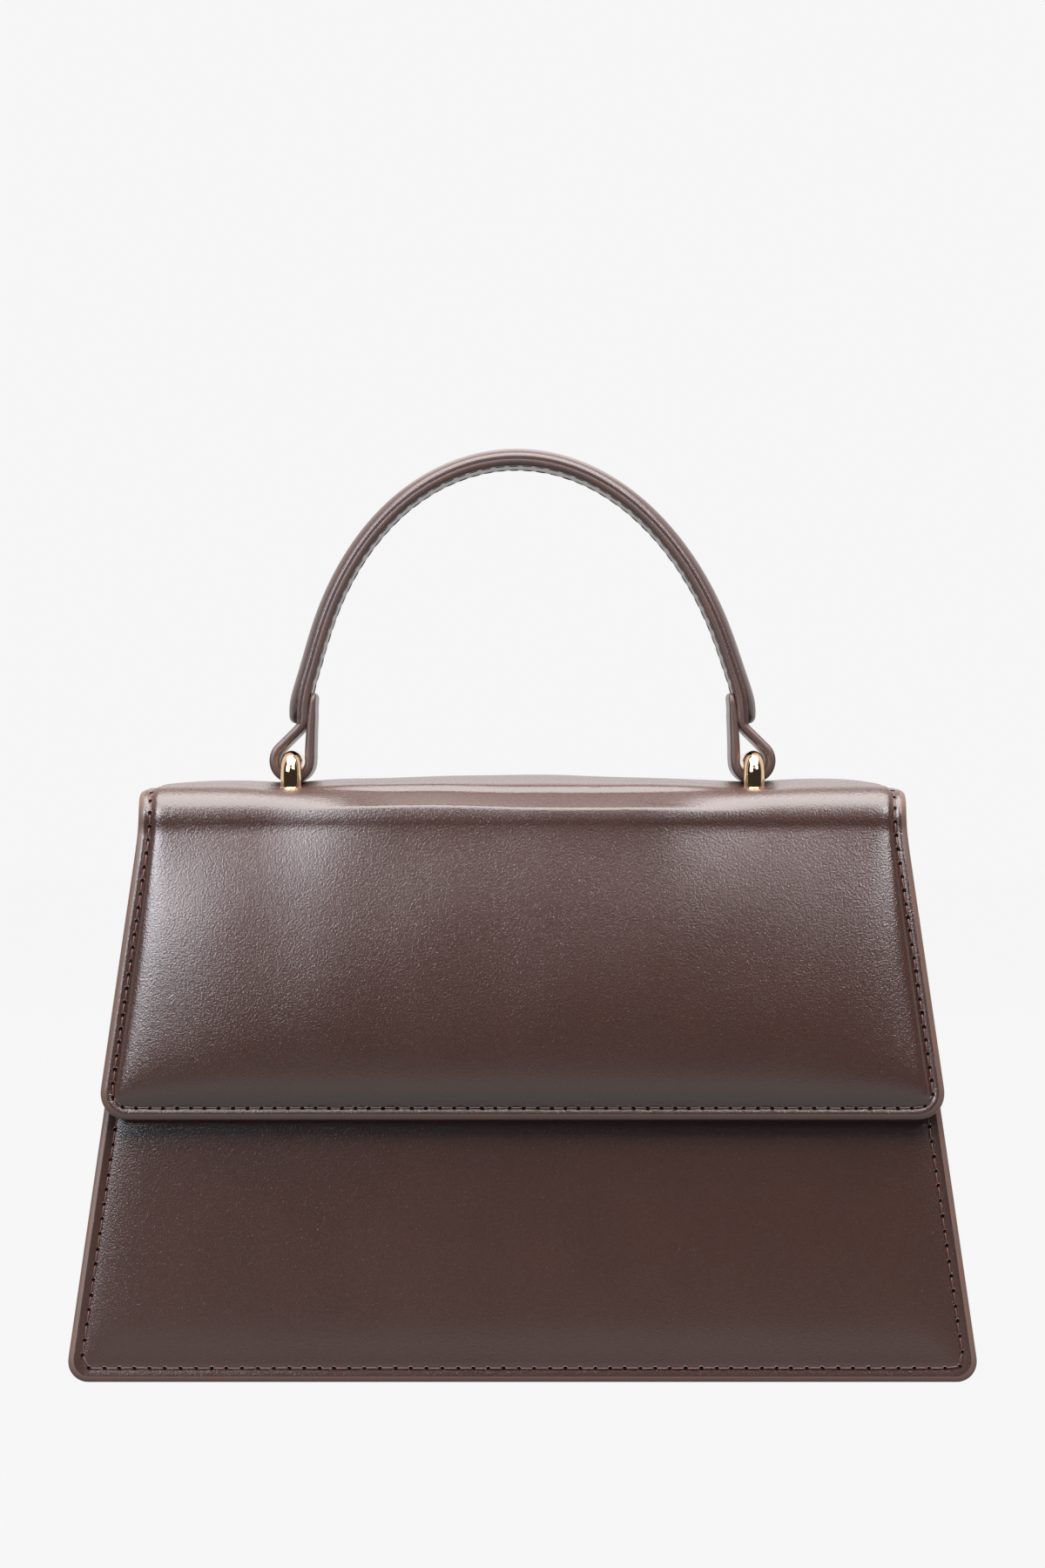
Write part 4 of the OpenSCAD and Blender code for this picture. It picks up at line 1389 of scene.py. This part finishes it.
# %% Sweep
def sweep(name, centres, normals, sections, materials, marks, origin, across_axis=1):
    """Sweeps a section along a path in an upright plane. centres and normals are (n, 2), by
    the plane's level direction and by Z. sections (n, m, 2) hold the place across the plane
    and the height along the normal: point = centre + height * normal. marks are the
    materials round a section. The caps of quads take the highest."""
    count, sides = sections.shape[:2]
    path = centres[:, None] + normals[:, None] * sections[..., 1:]
    level, up = path[..., 0], path[..., 1]
    across = sections[..., 0]
    x, y = (level, across) if across_axis == 1 else (across, level)
    points = (np.stack([x, y, up], -1) + np.array(origin)).reshape(-1, 3)
    index = np.arange(count * sides).reshape(count, sides)
    following = np.roll(index, -1, axis=1)
    walls = np.stack([index[:-1], following[:-1], following[1:], index[1:]], -1).reshape(-1, 4)
    i = np.arange(sides // 2 - 1)
    caps = np.stack([i, i + 1, sides - 2 - i, sides - 1 - i], -1)
    quads = np.concatenate([walls, caps[:, ::-1], caps + (count - 1) * sides])
    every = np.concatenate([np.tile(marks, count - 1), np.full(2 * len(caps), marks.max())])
    return new_piece(name, points, outward(name, points, quads), materials, every)


def path_normals(points):
    """Unit normals of a path in a plane, to the left of its direction."""
    way = np.gradient(points, axis=0)
    return unit(np.stack([-way[:, 1], way[:, 0]], -1))


def resampled(points, step):
    """Points at even steps along a path of x, z and further columns, and their lengths."""
    run = lengths(points[:, :2])
    places = np.linspace(0, run[-1], int(run[-1] / step) + 1)
    return places, along(places, run, points)


print("a path to the right has its normal up:", path_normals(np.array([[0.0, 0], [1, 0]]))[0])

# %% [markdown]
# Seen from the front the arch is half an ellipse. Each foot leaves it in a knee, goes round
# the bar in a loop and rises again to a tab that lies against the arch's inner side. Knee
# and rise are Bezier curves, the loop is an arc.

# %% Path of the strap
ARCH_A = 65.0
RISE = 89.0
RING_Y = -1.642
BAR_Z = 179.3
STRAP_W = 19.0
STRAP_T = 2.7
TAB_T = 1.8
TAB_Z = (14.6, 20.6)
TAB_GAP = 0.15
TAB_PULL = 7.0
LOOP_R = 5.3
KNEE = math.radians(47)
KNEE_T = math.asin(12.5 / RISE)
LEAN_LEFT = 1.8
SPREAD = 1.0
HANDLE_AT = (0.0, RING_Y, BAR_Z)


def arch_point(a, off=0.0):
    """The arch, an ellipse: (A cos a, R sin a), moved off along its normal."""
    a = np.asarray(a, float)
    n = unit(np.stack([np.cos(a) / ARCH_A, np.sin(a) / RISE], -1))
    return np.stack([ARCH_A * np.cos(a), RISE * np.sin(a)], -1) + off * n


def bezier(points, shares):
    """A Bezier curve: the sum of binomial(n, i) * t^i * (1 - t)^(n - i) * point i."""
    t = shares[:, None]
    n = len(points) - 1
    return sum(math.comb(n, i) * t ** i * (1 - t) ** (n - i) * p for i, p in enumerate(points))


def foot_path():
    """The right foot from the arch down, round the bar and up its inner side, and how thick
    the strap is at each point: x, z, thickness."""
    bar = np.array([RING_X, 0])
    way = np.array([math.cos(KNEE), math.sin(KNEE)])
    start = arch_point(KNEE_T)
    loop = bar + LOOP_R * way
    middle = np.array([ARCH_A, loop[1] + (loop[0] - ARCH_A) / math.tan(KNEE)])
    end = middle + np.linalg.norm(middle - start) * np.array([way[1], -way[0]])
    knee = bezier([start, middle, end], np.linspace(0, 1, 90))
    turn = KNEE - np.linspace(0, 1, 60)[:, None] * (KNEE + math.pi)
    round_bar = bar + LOOP_R * np.concatenate([np.cos(turn), np.sin(turn)], 1)
    tab_turn = np.linspace(math.asin(TAB_Z[0] / RISE), math.asin(TAB_Z[1] / RISE), 12)
    tab = arch_point(tab_turn, -(STRAP_T + TAB_T) / 2 - TAB_GAP)
    pull = round_bar[-1] + np.array([0, TAB_PULL])
    rise = bezier([round_bar[-1], pull, 2 * tab[0] - tab[3], tab[0]], np.linspace(0, 1, 24)[1:-1])
    line = np.concatenate([knee, round_bar[1:], rise, tab])
    thick = np.concatenate([np.full(len(knee) + len(round_bar) - 1, STRAP_T),
                            np.linspace(STRAP_T + 0.2, 2.3, len(rise)),
                            np.linspace(2.2, 1.5, len(tab))])
    return np.concatenate([line, thick[:, None]], 1)


def leaned(points):
    """Lets the arch lean a little to the left and spreads its feet, as in the photograph."""
    moved = points.copy()
    moved[:, 0] -= LEAN_LEFT * ease(points[:, 1], 12.0, RISE)
    moved[:, 0] += SPREAD * np.sign(points[:, 0]) * bell(points[:, 1] - 18.0, 9.0)
    return moved


foot = foot_path()
arch = arch_point(np.linspace(math.pi - KNEE_T, KNEE_T, 1200)[1:-1])
arch = np.concatenate([arch, np.full((len(arch), 1), STRAP_T)], 1)
mirrored = foot[::-1] * np.array([-1, 1, 1])
strap_run, strap_line = resampled(leaned(np.concatenate([mirrored, arch, foot])), 0.8)
print("length of the strap:", round(strap_run[-1], 1), "mm in", len(strap_line), "stations")

# %% [markdown]
# The strap's section has flat faces and edges that are sanded round and painted. Its two
# ends are skived thin and cut round.

# %% Strap
EDGE_REACH = 0.75
END_SKIVE = 1.4
END_R = 2.5


def quarter_round(distance, radius, least=0.0):
    """A quarter circle's rise from 0 at an end to 1: sqrt(1 - (1 - distance / radius)^2)."""
    left = 1 - np.clip(distance / radius, 0, 1)
    return np.sqrt(np.clip(1 - left ** 2, least, 1))


def strap_sections(thick, narrow):
    """A strap's section: flat faces and edges sanded round, narrowed at the two ends."""
    edge = np.linspace(-math.pi / 2, math.pi / 2, 9)
    face = np.linspace(-1, 1, 15)
    half = STRAP_W / 2 - narrow[:, None]
    right_y = half + EDGE_REACH * (np.cos(edge) - 1)
    right_h = thick[:, None] / 2 * np.sin(edge)
    top_y = (half - EDGE_REACH) * -face[1:-1]
    top_h = thick[:, None] / 2 + 0 * top_y
    y = np.concatenate([right_y, top_y, -right_y, -top_y], 1)
    h = np.concatenate([right_h, top_h, -right_h, -top_h], 1)
    marks = np.repeat([1, 0, 1, 0], [len(edge) - 1, len(face) - 1] * 2)
    return np.stack([y, h], -1), marks


to_end = np.minimum(strap_run, strap_run[-1] - strap_run)
skived = strap_line[:, 2] * (1 - 0.75 * np.clip(1 - to_end / END_SKIVE, 0, 1) ** 2.2)
section, section_marks = strap_sections(skived, 2.0 * (1 - quarter_round(to_end, END_R)))
strap = sweep(
    "handle_strap_swept", strap_line[:, :2], path_normals(strap_line[:, :2]), section,
    [handle_calf, handle_edge], section_marks, HANDLE_AT,
)
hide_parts("handle_strap")
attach(strap, "handle")

# %% [markdown]
# The cover is a thinner leather over a round filler. Its rim is sewn to the strap on both
# sides of the filler and laps over the strap's edge, so that the two look like one thick
# edge. At each end the dome narrows to a tongue whose tip stands a little higher.

# %% Padded cover
COVER_RIM = 0.6
DOME_W = 15.2
DOME_H = 2.4
TAPER = 7.5
BLUNT = 2.2
RIM_IN = np.array([0.03, 0.06, 0.18, 0.42, 0.75])
RIM_DROP = np.array([0.62, 0.3, 0.12, 0.02, 0.0])
SEAM_SHARE = np.array([0.3, 0.6, 0.85])
SEAM_DROP = np.array([0.25, 0.28, 0.12])


def cover_sections(end):
    """The cover across, for distances from its nearer end: a rim that drops at its border
    and dips at the seam, and between the seams a dome, high * sin(turn)^1.24."""
    tip = 1 + 0.2 * bell(end - 5.0, 5.0)
    high = (DOME_H * quarter_round(end, BLUNT) * tip)[:, None]
    foot = DOME_W / 2 * quarter_round(end, TAPER, 0.02)[:, None]
    turn = np.linspace(0, math.pi, 33)
    dome_y = -foot * np.cos(turn)
    dome_h = high * np.sin(turn) ** 1.24
    outer = STRAP_W / 2 - RIM_IN
    rim_y = np.concatenate([outer + 0 * foot, outer[-1] + SEAM_SHARE * (foot - outer[-1])], 1)
    rim_h = -np.concatenate([RIM_DROP, SEAM_DROP]) + 0 * foot
    y = np.concatenate([-rim_y, dome_y, rim_y[:, ::-1]], 1)
    top = STRAP_T / 2 + COVER_RIM + np.concatenate([rim_h, dome_h, rim_h[:, ::-1]], 1)
    low = STRAP_T / 2 - 0.12 - 0.6 * ease(np.abs(y), STRAP_W / 2 - 0.7, STRAP_W / 2 - 0.1)
    ys = np.concatenate([y, y[:, ::-1]], 1)
    hs = np.concatenate([top, np.minimum(low, top - 0.05)[:, ::-1]], 1)
    return np.stack([ys, hs], -1), np.zeros(ys.shape[1], int)


cover_foot = math.asin(10.9 / RISE)
cover_arch = arch_point(np.linspace(math.pi - cover_foot, cover_foot, 1200))
cover_run, cover_line = resampled(leaned(cover_arch), 0.6)
cover_normals = path_normals(cover_line)
section, section_marks = cover_sections(np.minimum(cover_run, cover_run[-1] - cover_run))
cover = sweep(
    "handle_cover_swept", cover_line, cover_normals, section,
    [handle_calf, handle_edge], section_marks, HANDLE_AT,
)
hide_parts("handle_cover", "handle_filler")
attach(cover, "handle")

# %% [markdown]
# One seam on each side of the dome goes through cover and strap, so it shows twice: beside
# the dome, and in finer stitches on the inner side of the arch.

# %% Handle seams
HANDLE_PITCH = 4.0
UNDER_SEAM = (7.2, 0.12 - STRAP_T / 2, 9.0, 20, 0.6)
OVER_SEAM = (DOME_W / 2 + 0.6, STRAP_T / 2 + COVER_RIM - 0.25, 3.0, 30, 0.45)


def handle_row(side, across, height, skip, seed, wide):
    """One row of stitches along the arch: how far across it and at what height on its normal
    it lies, how much of each end it skips, its seed and how wide its thread is."""
    keep = (cover_run > skip) & (cover_run < cover_run[-1] - skip)
    spot = cover_line[keep] + cover_normals[keep] * height
    level = np.full(len(spot), RING_Y + side * across)
    points = np.stack([spot[:, 0], level, spot[:, 1] + BAR_Z], -1)
    out = np.sign(height) * cover_normals[keep]
    normals = np.stack([out[:, 0], np.zeros(len(spot)), out[:, 1]], -1)
    return points, normals, HANDLE_PITCH, seed + side, {"wide": wide}


handle_rows = [handle_row(side, *seam) for side, _ in SIDES for seam in (UNDER_SEAM, OVER_SEAM)]
handle_stitches = stitch_piece("handle_stitches", handle_rows, handle_calf)
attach(handle_stitches, "handle")

# %% [markdown]
# ## Rings
#
# Each ring is a bar of brass, bent into a bridge over the strap's end, polished and plated
# with pale gold. Polished plating is nearly a mirror, and only the metal's colour and a trace
# of unevenness keep it from looking like glass. The magnets and the plates inside are
# plated too, but brushed to a satin, and the screws are nickel-plated steel.

# %% Plating
PLATE_WEAR = 2.5


def plated(name, colour, rough):
    """Plated metal: noise varies its roughness and gives its surface a hundredth of a
    millimetre of unevenness."""
    material, tree = new_material(name)
    coord = add_node(tree, "ShaderNodeTexCoord").outputs["Object"]
    wear = add_node(
        tree, "ShaderNodeTexNoise", {"Vector": coord}, scale=1000.0 / PLATE_WEAR, detail=3.0,
    )
    gloss = add_node(
        tree, "ShaderNodeMapRange", {0: wear.outputs["Fac"]},
        from_min=NOISE_LOW, from_max=NOISE_HIGH, to_min=rough * 0.7, to_max=rough * 1.4,
    )
    bump = add_node(
        tree, "ShaderNodeBump", {"Height": wear.outputs["Fac"]},
        strength=0.3, distance=0.01 * MM,
    )
    shader = add_node(
        tree, "ShaderNodeBsdfPrincipled",
        {"Roughness": gloss.outputs[0], "Normal": bump.outputs[0]},
        base_color=linear(colour), metallic=1.0,
    )
    add_node(tree, "ShaderNodeOutputMaterial", {"Surface": shader.outputs[0]})
    return material


gold = plated("pale_gold_plate", "#EBC6A0", 0.05)
satin_gold = plated("satin_gold_plate", "#EBC6A0", 0.32)
steel = plated("nickel_plated_steel", "#B8B6B2", 0.22)
print("metals:", gold.name, satin_gold.name, steel.name)

# %% [markdown]
# The bar is a round section swept along half a bridge and its mirror image. Where a leg
# meets the leather its radius grows to a small collar, so leg and collar stay one mesh.

# %% Rings
LEG = 13.3
BAR_R = 3.0
BRIDGE_R = 3.8
TOP_Z = 171.0
LEG_RISE = np.array([-2.2, -0.6, -0.25, -0.2, 0.1, 0.25, 0.4, 0.5, 2.0, 3.4])
LEG_WIDE = np.array([2.9, 2.95, 3.4, 3.7, 3.7, 3.55, 3.25, 3.02, 3.0, 3.0])


def bridge():
    """The bridge's path as y, z and radius: a leg with its collar, a quarter bend, half the
    bar, and all of it mirrored. Also its normals, which on the legs are level."""
    bend = np.linspace(0, math.pi / 2, 14)[1:]
    leg_top = BAR_Z - BRIDGE_R
    rise = np.append(LEG_RISE, leg_top - TOP_Z)
    leg = np.stack([np.full(len(rise), -LEG), TOP_Z + rise, np.append(LEG_WIDE, BAR_R)], -1)
    curve = np.stack([-LEG + BRIDGE_R * (1 - np.cos(bend)), leg_top + BRIDGE_R * np.sin(bend),
                      np.full(len(bend), BAR_R)], -1)
    bar_y = np.linspace(-LEG + BRIDGE_R, 0, 10)[1:]
    bar = np.stack([bar_y, np.full(len(bar_y), BAR_Z), np.full(len(bar_y), BAR_R)], -1)
    half = np.concatenate([leg, curve, bar])
    line = np.concatenate([half, half[:-1][::-1] * np.array([-1, 1, 1])])
    normals = path_normals(line[:, :2])
    normals[:len(leg)] = (-1, 0)
    normals[-len(leg):] = (1, 0)
    return line, normals


bridge_line, bridge_normals = bridge()
bar_turn = np.linspace(0, 2 * math.pi, 40, endpoint=False)
circle = np.stack([np.cos(bar_turn), np.sin(bar_turn)], -1)
for side, word in SIDES:
    ring = sweep(
        word + "_ring_plated", bridge_line[:, :2], bridge_normals,
        bridge_line[:, 2, None, None] * circle, [gold], np.zeros(len(circle), int),
        (side * RING_X, RING_Y, 0.0), across_axis=0,
    )
    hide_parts(word + "_ring")
    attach(ring, "flap_top")

# %% [markdown]
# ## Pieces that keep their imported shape
#
# The boards, magnets, plates and screws are plain enough to stay as they are. They get a
# finish: grey-brown fibreboard, which is pressed from pulp and so is mottled and matt, and
# the two metals.

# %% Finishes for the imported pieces
FIBRE = 1.11
PULP_CLOUD = 14.3


def fibreboard(name, colour):
    """Pressed fibreboard: a clouded colour, with short fibres as a fine bump."""
    material, tree = new_material(name)
    coord = add_node(tree, "ShaderNodeTexCoord").outputs["Object"]
    tone = mottled(tree, coord, colour, PULP_CLOUD, 0.85, 1.15)
    fibres = grained(tree, coord, FIBRE, 0.08, strength=0.6, detail=4.0)
    shader = add_node(
        tree, "ShaderNodeBsdfPrincipled", {"Base Color": tone, "Normal": fibres},
        roughness=0.85,
    )
    add_node(tree, "ShaderNodeOutputMaterial", {"Surface": shader.outputs[0]})
    return material


FINISHES = (
    (fibreboard("pressed_fibreboard", "#7D6A57"),
     ("front_board", "back_board", "base_board", "top_board")),
    (satin_gold, ("left_ring_plate", "right_ring_plate", "panel_magnet", "flap_magnet")),
    (steel, ("left_ring_screws", "right_ring_screws",
             "panel_magnet_washer", "flap_magnet_washer")),
)
for finish, nodes in FINISHES:
    for node in nodes:
        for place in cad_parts[node].material_slots:
            place.material = finish
    print("finished as packed, in", finish.name + ":", nodes)
